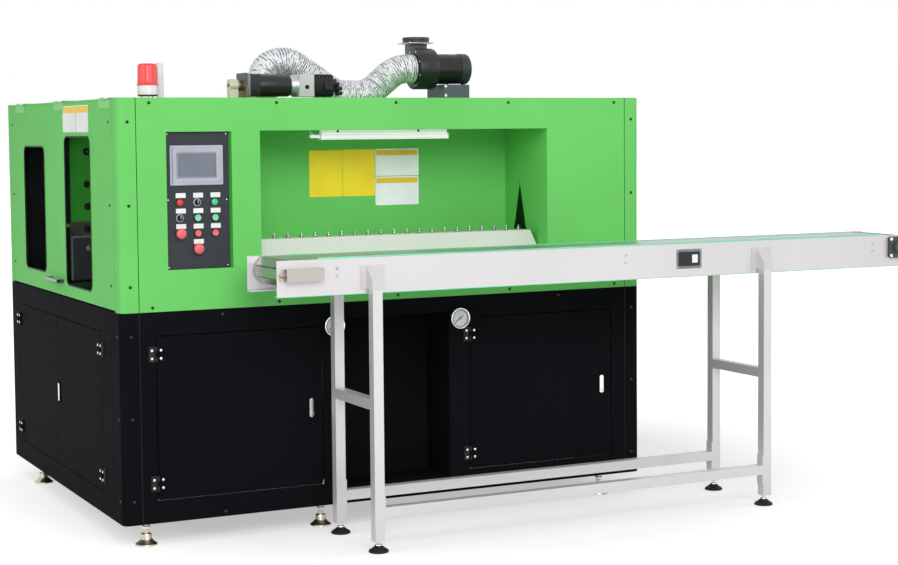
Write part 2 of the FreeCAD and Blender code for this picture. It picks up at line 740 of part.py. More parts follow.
def hinged_door(pan, hinge_point, x_dir, y_dir, lock_origin):
    """A door with its hinge leaves and lock cup, and the fixed leaves that stay behind."""
    fixed_leaves = []
    solids = [pan]
    for z in (HINGE_LOW_Z, HINGE_HIGH_Z):
        fixed, moving = hinge_pair(HINGE_HEIGHT)
        if x_dir.cross(y_dir).z < 0:
            fixed = fixed.mirror(V(0, 0, HINGE_HEIGHT / 2), Z_AXIS)
            moving = moving.mirror(V(0, 0, HINGE_HEIGHT / 2), Z_AXIS)
            origin = V(hinge_point.x, hinge_point.y, z + HINGE_HEIGHT / 2)
        else:
            origin = V(hinge_point.x, hinge_point.y, z - HINGE_HEIGHT / 2)
        fixed_leaves.append(placed(fixed, origin, x_dir, y_dir))
        solids.append(placed(moving, origin, x_dir, y_dir))
    if lock_origin is not None:
        solids.append(lock_cup(lock_origin, across(y_dir), y_dir))
    door = joined(solids)
    if lock_origin is not None:
        door = door.cut(lock_pocket(lock_origin, across(y_dir), y_dir))
    return door, fixed_leaves


def across(y_dir):
    """The way across a door whose inside lies along y_dir, so that z stays up."""
    return y_dir.cross(Z_AXIS)


def lower_doors():
    """Two front doors and two leaves on the left side, their locks and fixed hinge leaves."""
    fixed = []
    door_z = (DOOR_BOTTOM, DOOR_TOP)
    for name, span in (("front_door_left", LEFT_DOOR), ("front_door_right", RIGHT_DOOR)):
        pan = door_pan(span, (0, DOOR_PAN), door_z, "y")
        hinge_point = V(span[0] - DOOR_GAP + 0.5, -HINGE_STAND, 0)
        lock = V(span[1] - LOCK_INSET, 0, LOCK_Z)
        parts[name], leaves = hinged_door(pan, hinge_point, X_AXIS, Y_AXIS, lock)
        parts[name.replace("door", "lock")] = lock_paddle(lock, across(Y_AXIS), Y_AXIS)
        fixed += leaves
    pan = door_pan((0, DOOR_PAN), SIDE_LEAF_FRONT, door_z, "x")
    hinge_point = V(-HINGE_STAND, SIDE_LEAF_FRONT[0] - DOOR_GAP + 0.5, 0)
    lock = V(0, SIDE_LEAF_FRONT[1] - LOCK_INSET + 20, LOCK_Z)
    parts["side_door_front"], leaves = hinged_door(pan, hinge_point, Y_AXIS, X_AXIS, lock)
    parts["side_lock"] = lock_paddle(lock, across(X_AXIS), X_AXIS)
    fixed += leaves
    pan = door_pan((0, DOOR_PAN), SIDE_LEAF_REAR, door_z, "x")
    hinge_point = V(-HINGE_STAND, SIDE_LEAF_REAR[1] + DOOR_GAP - 0.5, 0)
    parts["side_door_rear"], leaves = hinged_door(pan, hinge_point, Y_AXIS * -1, X_AXIS, None)
    fixed += leaves
    return fixed


def gull_hinges():
    """Fixed leaves on the roof edge and moving leaves on the door, for the left door."""
    fixed = []
    moving = []
    axis_x = -HINGE_STAND
    axis_z = ROOF - 1
    third = GULL_HINGE_LENGTH / 3
    leaf_z = (ROOF, ROOF + HINGE_LEAF_THICK)
    door_leaf_z = (ROOF - GULL_HINGE_DROP, axis_z - KNUCKLE_R - 1)
    for middle in GULL_HINGES_Y:
        low = middle - GULL_HINGE_LENGTH / 2
        outer = [block((0, 40.0), (low, low + GULL_HINGE_LENGTH), leaf_z)]
        upper = (low + 2 * third + KNUCKLE_GAP, low + 3 * third)
        for start, end in ((low, low + third - KNUCKLE_GAP), upper):
            outer.append(knuckle(V(axis_x, start, axis_z), Y_AXIS, end - start))
            outer.append(block((axis_x, 0), (start, end), leaf_z))
        fixed.append(joined(outer))
        inner = [block((-HINGE_LEAF_THICK, 0), (low, low + GULL_HINGE_LENGTH), door_leaf_z)]
        inner.append(knuckle(V(axis_x, low + third, axis_z), Y_AXIS, third))
        inner.append(block((axis_x, 0), (low + third, low + 2 * third), (door_leaf_z[1], axis_z - 2)))
        moving.append(joined(inner))
    return fixed, moving


def window_cut(window):
    return rounded_bar((0, SKIN), (window[0], window[1]), (window[2], window[3]), WINDOW_CORNER, "x")


def gull_door():
    """Left gull-wing door with two rounded windows, before its fittings."""
    pan = door_pan((0, DOOR_PAN), (GULL_FRONT, GULL_REAR), (GULL_BOTTOM, GULL_TOP), "x")
    for window in (WINDOW_NEAR, WINDOW_FAR):
        pan = pan.cut(window_cut(window))
    return pan


def gull_glazing():
    """Two panes that lie behind the windows on a lap all round."""
    panes = []
    for window in (WINDOW_NEAR, WINDOW_FAR):
        y = (window[0] - PANE_LAP, window[1] + PANE_LAP)
        z = (window[2] - PANE_LAP, window[3] + PANE_LAP)
        panes.append(cut_cornered((SKIN, SKIN + PANE_THICK), y, z, WINDOW_CORNER / 2, "x"))
    return group(panes)


def gull_pull():
    """Cast pull: a grip between two feet on the door's face."""
    half = PULL_LENGTH / 2
    z = (PULL_Z - PULL_THICK / 2, PULL_Z + PULL_THICK / 2)
    grip_x = (-PULL_REACH, -PULL_REACH + PULL_THICK)
    grip = cut_cornered(grip_x, (PULL_Y - half, PULL_Y + half), z, PULL_EDGE, "y")
    feet = []
    for end in (PULL_Y - half, PULL_Y + half - PULL_FOOT):
        feet.append(block((grip_x[1] - PULL_EDGE, 0), (end, end + PULL_FOOT), z))
    return joined([grip] + feet)


def gull_doors():
    fixed, moving = gull_hinges()
    parts["gull_door_left"] = gull_door()
    parts["gull_left_glazing"] = gull_glazing()
    parts["gull_left_fittings"] = group(moving + [gull_pull()])
    right = joined([door_pan((0, DOOR_PAN), (GULL_FRONT, GULL_REAR), (GULL_BOTTOM, GULL_TOP), "x"),
                    gull_pull()] + moving)
    parts["gull_door_right"] = mirrored_x(right, WIDTH / 2)
    return fixed + [mirrored_x(leaf, WIDTH / 2) for leaf in fixed]


# ---------------------------------------------------------------- control panel
def button_places():
    """Every operator of the panel: name, x, z. The fourth row has one in the middle."""
    rows = []
    names = (("power_lamp", "mode_selector", "run_lamp"),
             ("feed_selector", "start_button_a", "start_button_b"),
             ("stop_mushroom_a", "reset_button_a", "reset_button_b"))
    for row, triple in enumerate(names):
        for column, name in enumerate(triple):
            rows.append((name, BUTTON_COLUMNS[column], BUTTON_TOP_ROW - BUTTON_ROW_PITCH * row))
    rows.append(("stop_mushroom_b", BUTTON_COLUMNS[1], BUTTON_TOP_ROW - BUTTON_ROW_PITCH * 3))
    return rows


def operator_rod(x, y, z, radius, length):
    return flat_rod(V(x, y, z), Y_AXIS, radius, length, BUTTON_SIDES)


def control_panel():
    """Dark plate behind the window, with the holes of the operators and of the terminal."""
    x = (PANEL_LEFT - PANEL_LAP, PANEL_RIGHT + PANEL_LAP)
    y = (PANEL_SET_BACK, PANEL_SET_BACK + PANEL_PLATE)
    plate = block(x, y, (PANEL_BOTTOM - PANEL_LAP, PANEL_TOP + PANEL_LAP))
    holes = [block((TERMINAL_LEFT + 8, TERMINAL_LEFT + TERMINAL_WIDTH - 8), y,
                   (TERMINAL_BOTTOM + 8, TERMINAL_BOTTOM + TERMINAL_HEIGHT - 8))]
    for name, bx, bz in button_places():
        holes.append(operator_rod(bx, y[0], bz, BUTTON_HOLE_R, PANEL_PLATE))
    return plate.cut(group(holes))


def hmi_terminal():
    """Touch terminal: bezel, body through the cut-out, and the screen in its recess."""
    front = PANEL_SET_BACK - TERMINAL_PROUD
    x = (TERMINAL_LEFT, TERMINAL_LEFT + TERMINAL_WIDTH)
    z = (TERMINAL_BOTTOM, TERMINAL_BOTTOM + TERMINAL_HEIGHT)
    bezel = cut_cornered(x, (front, PANEL_SET_BACK), z, TERMINAL_CORNER, "y")
    body = block((x[0] + 8, x[1] - 8), (PANEL_SET_BACK, PANEL_SET_BACK + TERMINAL_BODY), (z[0] + 8, z[1] - 8))
    middle_x = (x[0] + x[1]) / 2
    middle_z = (z[0] + z[1]) / 2
    screen_x = (middle_x - SCREEN_WIDTH / 2, middle_x + SCREEN_WIDTH / 2)
    screen_z = (middle_z - SCREEN_HEIGHT / 2, middle_z + SCREEN_HEIGHT / 2)
    pocket = block(screen_x, (front, front + 3.0), screen_z)
    screen = block(screen_x, (front + 1.5, front + 3.0), screen_z)
    return group([joined([bezel, body]).cut(pocket), screen])


def operator_bodies():
    """Fixed side of each operator: bezel in front, contact block behind, and the two lamps."""
    solids = []
    front = PANEL_SET_BACK
    back = PANEL_SET_BACK + PANEL_PLATE
    half = CONTACT_BLOCK / 2
    for name, x, z in button_places():
        bezel = operator_rod(x, front - BEZEL_THICK, z, BEZEL_R, BEZEL_THICK)
        bezel = bezel.cut(operator_rod(x, front - BEZEL_THICK, z, BUTTON_HOLE_R, BEZEL_THICK))
        housing = block((x - half, x + half), (back, back + CONTACT_DEPTH), (z - half, z + half))
        throat = block((x - half + 3, x + half - 3), (back, back + CONTACT_DEPTH - 12), (z - half, z + half))
        solids += [bezel, housing.cut(throat)]
        if name.endswith("lamp"):
            length = BEZEL_THICK + BUTTON_PROUD + PANEL_PLATE + CONTACT_DEPTH - 12
            solids.append(operator_rod(x, front - BEZEL_THICK - BUTTON_PROUD, z, BUTTON_STEM_R, length))
    return group(solids)


def operators():
    """Moving side of each operator: stem through the plate and its cap, head or knob."""
    front = PANEL_SET_BACK - BEZEL_THICK
    stem_end = PANEL_SET_BACK + PANEL_PLATE + CONTACT_DEPTH - 12 - BUTTON_TRAVEL - 2
    for name, x, z in button_places():
        if name.endswith("lamp"):
            continue
        proud = BUTTON_PROUD
        stem = operator_rod(x, front - proud, z, BUTTON_STEM_R, stem_end - front + proud)
        if "mushroom" in name:
            outline = [(MUSHROOM_R * 0.7, 0), (MUSHROOM_R, MUSHROOM_HEAD * 0.4),
                       (MUSHROOM_R, MUSHROOM_HEAD * 0.8),
                       (BUTTON_STEM_R, MUSHROOM_HEAD), (BUTTON_STEM_R, MUSHROOM_PROUD - proud)]
            head = many_sided(outline, V(x, front - MUSHROOM_PROUD, z), Y_AXIS, BUTTON_SIDES)
            stem = joined([head, stem])
        if "selector" in name:
            lever = block((x - 4.0, x + 4.0), (front - KNOB_PROUD, front - proud), (z - 10.0, z + 10.0))
            stem = joined([stem, lever])
        parts[name] = stem


# ---------------------------------------------------------------- recess fittings
def recess_lamp():
    """Lamp batten under the recess top, with its lead connector."""
    top = RECESS_TOP
    low = top - LAMP_DROP - LAMP_SIZE[1]
    y = (LAMP_Y, LAMP_Y + LAMP_SIZE[0])
    tube = cut_cornered(LAMP_X, y, (low, low + LAMP_SIZE[1]), LAMP_EDGE, "x")
    plug = block((LAMP_X[0] - LAMP_CONNECTOR, LAMP_X[0]), (LAMP_Y + 6, LAMP_Y + 24), (low + 7, low + 19))
    clips = []
    for x in (LAMP_X[0] + 3 * LAMP_CLIP, LAMP_X[1] - 4 * LAMP_CLIP):
        clips.append(block((x, x + LAMP_CLIP), (LAMP_Y + 8, LAMP_Y + 22), (low + LAMP_SIZE[1], top)))
    return group([joined([tube] + clips), plug])


def spindle_rail():
    """Folded stainless rail across the recess, its right end cut to a slope."""
    left = RECESS_LEFT
    right = RECESS_RIGHT - RAIL_CLEAR
    outline = [V(left, RAIL_Y, RECESS_BOTTOM), V(right, RAIL_Y, RECESS_BOTTOM),
               V(right - RAIL_END_SLOPE, RAIL_Y, RAIL_TOP), V(left, RAIL_Y, RAIL_TOP)]
    face = prism(outline, V(0, RAIL_SHEET, 0))
    top_z = (RAIL_TOP - RAIL_SHEET, RAIL_TOP)
    top = block((left, right - RAIL_END_SLOPE), (RAIL_Y, RAIL_Y + RAIL_FLANGE), top_z)
    return joined([face, top])


def spindles():
    """Visible straight run of the chain: a carrier block and a white cone at every pitch."""
    solids = []
    size_x, size_y, size_z = SPINDLE_BASE
    low = CHAIN_Z + CHAIN_THICK
    for index in range(SPINDLE_COUNT):
        x = SPINDLE_LAST_X - SPINDLE_PITCH * index
        base = block((x - size_x / 2, x + size_x / 2), (SPINDLE_Y - size_y / 2, SPINDLE_Y + size_y / 2),
                     (low, low + size_z))
        outline = [(SPINDLE_R, 0), (SPINDLE_TIP_R, SPINDLE_CONE)]
        cone = many_sided(outline, V(x, SPINDLE_Y, low + size_z), Z_AXIS, SPINDLE_SIDES)
        solids.append(joined([base, cone]))
    return group(solids)


def racetrack(offset, low, height):
    """Closed loop outline at an offset from the chain's pitch line, as a solid plate."""
    middle_y = SPINDLE_Y + CHAIN_TURN_R
    radius = CHAIN_TURN_R + offset
    plate = block((CHAIN_LEFT_X, CHAIN_RIGHT_X), (middle_y - radius, middle_y + radius), (low, low + height))
    ends = [flat_bore(V(x, middle_y, low), Z_AXIS, radius, height, WHEEL_SIDES)
            for x in (CHAIN_LEFT_X, CHAIN_RIGHT_X)]
    return joined([plate] + ends)


def spindle_chain():
    """Chain loop, its two wheels on upright shafts and the guide under the front run."""
    middle_y = SPINDLE_Y + CHAIN_TURN_R
    half = CHAIN_WIDTH / 2
    loop = racetrack(half, CHAIN_Z, CHAIN_THICK).cut(racetrack(-half, CHAIN_Z, CHAIN_THICK))
    solids = [loop]
    deck_top = SEAM + DECK
    for x in (CHAIN_LEFT_X, CHAIN_RIGHT_X):
        wheel_r = CHAIN_TURN_R - half
        wheel = flat_rod(V(x, middle_y, CHAIN_Z + 1), Z_AXIS, wheel_r, CHAIN_THICK - 2, WHEEL_SIDES)
        shaft_low = deck_top + CHAIN_BEARING[1]
        rise = CHAIN_Z + CHAIN_THICK - shaft_low
        shaft = flat_rod(V(x, middle_y, shaft_low), Z_AXIS, CHAIN_SHAFT_R, rise, BAR_SIDES)
        side = CHAIN_BEARING[0] / 2
        bearing = block((x - side, x + side), (middle_y - side, middle_y + side), (deck_top, shaft_low))
        solids.append(joined([wheel, shaft, bearing]))
    guide_y = (SPINDLE_Y - GUIDE_WIDTH / 2, SPINDLE_Y + GUIDE_WIDTH / 2)
    solids.append(block((RECESS_LEFT + 20, RECESS_RIGHT - 20), guide_y, (RECESS_BOTTOM, CHAIN_Z)))
    return group(solids)


def pressure_gauges():
    """Two dial gauges beside the bay: case with a sunk dial."""
    solids = []
    for x in (BAY_LEFT - GAUGE_OFFSET, BAY_RIGHT + GAUGE_OFFSET):
        case = flat_rod(V(x, -GAUGE_DEEP, GAUGE_Z), Y_AXIS, GAUGE_R, GAUGE_DEEP, GAUGE_SIDES)
        dial = flat_rod(V(x, -GAUGE_DEEP, GAUGE_Z), Y_AXIS, GAUGE_R - GAUGE_RIM, GAUGE_RIM, GAUGE_SIDES)
        solids.append(case.cut(dial))
    return group(solids)


# ---------------------------------------------------------------- feet
def rear_foot_y():
    """The rear foot stands under the middle of the rear tube."""
    return DEPTH - SKIN - TUBE / 2


def machine_feet():
    """Six levelling feet: cone pad, collar and stud into the frame."""
    outline = [(FOOT_R, 0), (FOOT_R, FOOT_RIM), (FOOT_COLLAR_R, FOOT_CONE_TOP),
               (FOOT_COLLAR_R, FOOT_COLLAR_TOP), (FOOT_STUD_R, FOOT_COLLAR_TOP), (FOOT_STUD_R, BODY_BOTTOM)]
    side_x = (side_bars_x()[0][0] + side_bars_x()[0][1]) / 2
    places = [(x, FRONT_FEET_Y) for x in FRONT_FEET_X]
    places += [(side_x, SIDE_FEET_Y), (WIDTH - side_x, SIDE_FEET_Y), (WIDTH / 2, rear_foot_y())]
    return group([many_sided(outline, V(x, y, 0), Z_AXIS, FOOT_SIDES) for x, y in places])


# ---------------------------------------------------------------- roof equipment
def beacon_base():
    """Beacon socket on its gasket, with the white wiring duct beside it."""
    outline = [(BEACON_R - BEACON_STEP, 0), (BEACON_R - BEACON_STEP, BEACON_STUDS), (BEACON_R, BEACON_STUDS),
               (BEACON_R, BEACON_STUDS + BEACON_BASE)]
    socket = many_sided(outline, V(BEACON_X, BEACON_Y, ROOF), Z_AXIS, BEACON_SIDES)
    low = ROOF - ROOF_DROP + SKIN
    conduit = block((CONDUIT_X, CONDUIT_X + CONDUIT), (CONDUIT_Y, CONDUIT_Y + CONDUIT), (low, CONDUIT_TOP))
    seam = block((CONDUIT_X + 6, CONDUIT_X + CONDUIT - 6), (CONDUIT_Y, CONDUIT_Y + 1.5), (low, CONDUIT_TOP))
    return group([socket, conduit.cut(seam)])


def beacon_lens():
    """Closed lens with a flared foot and an eased top edge."""
    outline = [(BEACON_R + 2, 0), (BEACON_R, BEACON_STEP), (BEACON_R - 3, BEACON_LENS - BEACON_STEP / 2),
               (BEACON_R - BEACON_STEP, BEACON_LENS)]
    return many_sided(outline, V(BEACON_X, BEACON_Y, ROOF + BEACON_STUDS + BEACON_BASE), Z_AXIS, BEACON_SIDES)


def servo_gearmotor():
    """Gearbox, barrel with its taper, flange block and encoder housing in one line."""
    axis = V(0, DRIVE_Y, DRIVE_Z)
    half = GEARBOX_HALF
    square = ((DRIVE_Y - half, DRIVE_Y + half), (DRIVE_Z - half, DRIVE_Z + half))
    gearbox = block(GEARBOX_X, *square)
    bore = flat_bore(V(GEARBOX_X[0], axis.y, axis.z), X_AXIS, DRIVE_SHAFT_R + RUNNING, DRIVE_BORE, BAR_SIDES)
    start = GEARBOX_X[1]
    length = BARREL_END_X - start
    outline = [(half, 0), (half, length), (half - 1, length), (half - 8, ADAPTOR_END_X - start)]
    barrel = many_sided(outline, V(start, axis.y, axis.z), X_AXIS, WHEEL_SIDES)
    flange_half = half + 3
    flange = block((ADAPTOR_END_X, FLANGE_END_X), (DRIVE_Y - flange_half, DRIVE_Y + flange_half),
                   (DRIVE_Z - flange_half, DRIVE_Z + flange_half))
    encoder = [block((FLANGE_END_X, ENCODER_END_X - 30), (DRIVE_Y - half, DRIVE_Y + half), square[1])]
    tail = (ENCODER_END_X - 30, ENCODER_END_X)
    encoder.append(block(tail, (DRIVE_Y - 24, DRIVE_Y + 24), (DRIVE_Z - half, DRIVE_Z + 12)))
    for rib in range(3):
        x = FLANGE_END_X + 14 + rib * 26
        rib_z = (DRIVE_Z - 10, DRIVE_Z + half + 3)
        encoder.append(block((x, x + 12), (DRIVE_Y - half - 2, DRIVE_Y + half + 2), rib_z))
    return joined([gearbox.cut(bore), barrel, flange] + encoder)


def roof_brackets():
    """Zinc-plated bracket of the gearmotor: upright, foot and saddle."""
    low = ROOF - ROOF_DROP + SKIN
    half = BRACKET_WIDTH / 2
    top = DRIVE_Z + GEARBOX_HALF + 4
    upright = block(BRACKET_X, (DRIVE_Y - half, DRIVE_Y + half), (low, top))
    hole_r = DRIVE_SHAFT_R + 4
    thick = BRACKET_X[1] - BRACKET_X[0]
    shaft_hole = flat_rod(V(BRACKET_X[0], DRIVE_Y, DRIVE_Z), X_AXIS, hole_r, thick, BAR_SIDES)
    foot = block((BRACKET_X[1], FLANGE_END_X), (DRIVE_Y - half, DRIVE_Y + half), (low, low + 8))
    saddle_z = (low + 8, DRIVE_Z - GEARBOX_HALF - 3)
    saddle = block((ADAPTOR_END_X, FLANGE_END_X), (DRIVE_Y - 30, DRIVE_Y + 30), saddle_z)
    return group([upright.cut(shaft_hole), foot, saddle])


def drive_lever():
    """Clamp lever on the gearbox shaft, reaching down through the roof slot."""
    half = LEVER_WIDTH / 2
    thick = LEVER_X[1] - LEVER_X[0]
    head = flat_rod(V(LEVER_X[0], DRIVE_Y, DRIVE_Z), X_AXIS, half + 6, thick, WHEEL_SIDES)
    arm = block(LEVER_X, (DRIVE_Y - half, DRIVE_Y + half), (DRIVE_Z - LEVER_REACH, DRIVE_Z))
    boss_length = BRACKET_X[0] - LEVER_X[1] - 0.5
    boss = flat_rod(V(LEVER_X[1], DRIVE_Y, DRIVE_Z), X_AXIS, LEVER_BOSS_R, boss_length, WHEEL_SIDES)
    shaft = rod(V(LEVER_X[1], DRIVE_Y, DRIVE_Z), X_AXIS, DRIVE_SHAFT_R, GEARBOX_X[0] + 25.0 - LEVER_X[1])
    return joined([head, arm, boss, shaft])


def neck_y():
    """The outlet neck rises along the back of the scroll."""
    return (BLOWER_Y + SCROLL_R - NECK_DEEP, BLOWER_Y + SCROLL_R)


def blower_scroll():
    """Hollow scroll with its inlet, upright outlet neck, flange and damper cap."""
    width = SCROLL_X[1] - SCROLL_X[0]
    neck_x = (SCROLL_X[0] + NECK_INSET, SCROLL_X[1] - NECK_INSET)
    y = neck_y()
    drum_r = SCROLL_R / math.cos(math.pi / DRUM_SIDES)
    outer = joined([flat_rod(V(SCROLL_X[0], BLOWER_Y, BLOWER_Z), X_AXIS, drum_r, width, DRUM_SIDES),
                    block(neck_x, y, (BLOWER_Z, NECK_TOP))])
    wall = SCROLL_WALL
    hollow_x = (SCROLL_X[0] + wall, SCROLL_X[1] - wall)
    drum = flat_rod(V(hollow_x[0], BLOWER_Y, BLOWER_Z), X_AXIS, SCROLL_R - wall, width - 2 * wall, DRUM_SIDES)
    neck_inside = ((neck_x[0] + wall, neck_x[1] - wall), (y[0] + wall, y[1] - wall))
    hollow = joined([drum, block(neck_inside[0], neck_inside[1], (BLOWER_Z, NECK_TOP))])
    inlet = flat_rod(V(SCROLL_X[0], BLOWER_Y, BLOWER_Z), X_AXIS, INLET_R - 3, wall, WHEEL_SIDES)
    shaft_hole = flat_rod(V(hollow_x[1], BLOWER_Y, BLOWER_Z), X_AXIS, MOTOR_SHAFT_R + 3, wall, BAR_SIDES)
    scroll = outer.cut(hollow).cut(inlet).cut(shaft_hole)
    middle = V((neck_x[0] + neck_x[1]) / 2, (y[0] + y[1]) / 2, NECK_TOP)
    half = OUTLET_FLANGE / 2
    flange = block((middle.x - half, middle.x + half), (middle.y - half, middle.y + half),
                   (NECK_TOP, NECK_TOP + OUTLET_FLANGE_THICK))
    opening = block(neck_inside[0], neck_inside[1], (NECK_TOP, NECK_TOP + OUTLET_FLANGE_THICK))
    collar_low = NECK_TOP + OUTLET_FLANGE_THICK
    collar = rod(V(middle.x, middle.y, collar_low), Z_AXIS, OUTLET_CAP_R, OUTLET_CAP)
    collar_foot = V(middle.x, middle.y, collar_low)
    collar = collar.cut(flat_rod(collar_foot, Z_AXIS, OUTLET_CAP_R - 6, OUTLET_CAP, WHEEL_SIDES))
    return joined([scroll, flange.cut(opening), collar])


def blower_motor():
    """Motor barrel against the scroll, with a wider fan cover, and the folded pedestal under it."""
    length = MOTOR_END_X - SCROLL_X[1]
    end = FAN_COVER_END_X - SCROLL_X[1]
    outline = [(MOTOR_R, 0), (MOTOR_R, length), (FAN_COVER_R, length), (FAN_COVER_R, end - FAN_COVER_EASE),
               (FAN_COVER_R - FAN_COVER_EASE, end)]
    start = V(SCROLL_X[1], BLOWER_Y, BLOWER_Z)
    body = many_sided(outline, start, X_AXIS, DRUM_SIDES)
    bore = flat_bore(start, X_AXIS, MOTOR_SHAFT_R + RUNNING, MOTOR_BORE, BAR_SIDES)
    return group([body.cut(bore)] + blower_pedestal())


def blower_pedestal():
    """Sheet pedestal of a top, a back and two cheeks that meet edge to edge."""
    x0, x1, y0, y1 = BLOWER_BRACKET
    sheet = PEDESTAL_SHEET
    low = ROOF - ROOF_DROP + SKIN
    top = BLOWER_Z - MOTOR_R
    table = block((x0, x1), (y0, y1), (top - sheet, top))
    end = block((x0, x0 + sheet), (y0, y1), (low, top - sheet))
    cheeks = [block((x0 + sheet, x1), (y, y + sheet), (low, top - sheet)) for y in (y0, y1 - sheet)]
    drum = rod(V(x0, BLOWER_Y, BLOWER_Z), X_AXIS, MOTOR_R, x1 - x0)
    chocks = []
    for y in (BLOWER_Y - CHOCK_OUT - CHOCK, BLOWER_Y + CHOCK_OUT):
        chocks.append(block((x0 + sheet, x1 - sheet), (y, y + CHOCK), (top, top + CHOCK)).cut(drum))
    return [table, end] + cheeks + chocks


def blower_impeller():
    """Forward-curved cage: back disc, shaft and a ring of blades."""
    wall = SCROLL_WALL + IMPELLER_CLEAR
    x = (SCROLL_X[0] + wall, SCROLL_X[1] - wall)
    disc = flat_rod(V(x[1] - 3, BLOWER_Y, BLOWER_Z), X_AXIS, IMPELLER_R, 3.0, IMPELLER_SIDES)
    shaft = rod(V(x[1] - 30, BLOWER_Y, BLOWER_Z), X_AXIS, MOTOR_SHAFT_R, SCROLL_X[1] + 22 - x[1] + 30)
    solids = [disc, shaft]
    for index in range(IMPELLER_BLADES):
        blade = block((x[0], x[1]), (IMPELLER_EYE_R, IMPELLER_R - 1), (-1.0, 1.0))
        blade.rotate(V(0, IMPELLER_EYE_R, 0), X_AXIS, 25.0)
        blade.rotate(V(0, 0, 0), X_AXIS, 360.0 / IMPELLER_BLADES * index)
        blade.translate(V(0, BLOWER_Y, BLOWER_Z))
        solids.append(blade)
    return joined(solids)


# ---------------------------------------------------------------- aluminium duct
def duct_path():
    """Straight runs and tangent arcs in the plane y = BLOWER_Y, as (kind, data, length)."""
    points = [V(x, BLOWER_Y, z) for x, z in DUCT_ROUTE]
    pieces = []
    start = points[0]
    for index in range(1, len(points) - 1):
        before = (points[index] - points[index - 1]).normalize()
        after = (points[index + 1] - points[index]).normalize()
        turn = before.getAngle(after)
        tangent = DUCT_TANGENTS[index - 1]
        radius = tangent / math.tan(turn / 2)
        arc_start = points[index] - before * tangent
        arc_end = points[index] + after * tangent
        side = before.cross(after).y
        inward = Y_AXIS.cross(before) if side > 0 else before.cross(Y_AXIS)
        centre = arc_start + inward * radius
        pieces.append(("line", (start, before), (arc_start - start).Length))
        pieces.append(("arc", (centre, arc_start - centre, before, radius, turn), radius * turn))
        print("duct bend", index, "radius", round(radius, 1), "turn", round(math.degrees(turn), 1))
        start = arc_end
    last = (points[-1] - points[-2]).normalize()
    pieces.append(("line", (start, last), (points[-1] - start).Length))
    return pieces


def duct_station(pieces, distance):
    """Point and direction of the duct's centre line at a distance from the roof."""
    for kind, data, length in pieces:
        if distance <= length + 1e-6:
            if kind == "line":
                start, way = data
                return start + way * distance, way
            centre, arm, way, radius, turn = data
            angle = distance / radius
            point = centre + arm * math.cos(angle) + way * (radius * math.sin(angle))
            direction = way * math.cos(angle) - arm * (math.sin(angle) / radius)
            return point, direction
        distance -= length
    raise ValueError("the distance lies past the end of the duct")


def ring(point, way, radius):
    """Corners of a circle square to the path, its own x axis always across the machine."""
    across_path = way.cross(Y_AXIS)
    step = 2 * math.pi / DUCT_SIDES
    return [point + Y_AXIS * (radius * math.cos(step * i)) + across_path * (radius * math.sin(step * i))
            for i in range(DUCT_SIDES)]


def ruled_tube(rings):
    """Closed solid ruled from ring to ring; a side that isn't flat is split along its diagonal."""
    faces = [flat_face(rings[0]), flat_face(rings[-1])]
    for low, high in zip(rings, rings[1:]):
        for i in range(DUCT_SIDES):
            j = (i + 1) % DUCT_SIDES
            normal = (low[j] - low[i]).cross(high[i] - low[i]).normalize()
            if abs(normal * (high[j] - low[i])) < FLATNESS:
                faces.append(flat_face([low[i], low[j], high[j], high[i]]))
            else:
                faces.append(flat_face([low[i], low[j], high[j]]))
                faces.append(flat_face([low[i], high[j], high[i]]))
    solid = Part.Solid(Part.Shell(faces))
    if solid.Volume < 0:
        solid.reverse()
    return solid


def aluminium_duct():
    """Ribbed duct with its bore: ruled through four rings a rib outside, one a rib inside."""
    pieces = duct_path()
    total = sum(length for kind, data, length in pieces)
    pitch = total / DUCT_RIBS
    shape = ((0.0, DUCT_ROOT_R), (0.3, DUCT_R), (0.55, DUCT_R), (0.85, DUCT_ROOT_R))
    outer = []
    inner = []
    for index in range(DUCT_RIBS):
        for share, radius in shape:
            point, way = duct_station(pieces, (index + share) * pitch)
            outer.append(ring(point, way, radius))
        point, way = duct_station(pieces, index * pitch)
        inner.append(ring(point, way, DUCT_BORE_R))
    point, way = duct_station(pieces, total)
    outer.append(ring(point, way, DUCT_ROOT_R))
    inner.append(ring(point, way, DUCT_BORE_R))
    duct = ruled_tube(outer).cut(ruled_tube(inner))
    mean_r = (DUCT_R + DUCT_ROOT_R) / 2
    print("duct", DUCT_RIBS, "ribs, length", round(total, 1), "volume", round(duct.Volume),
          "mean section x length", round(math.pi * (mean_r ** 2 - DUCT_BORE_R ** 2) * total))
    return duct


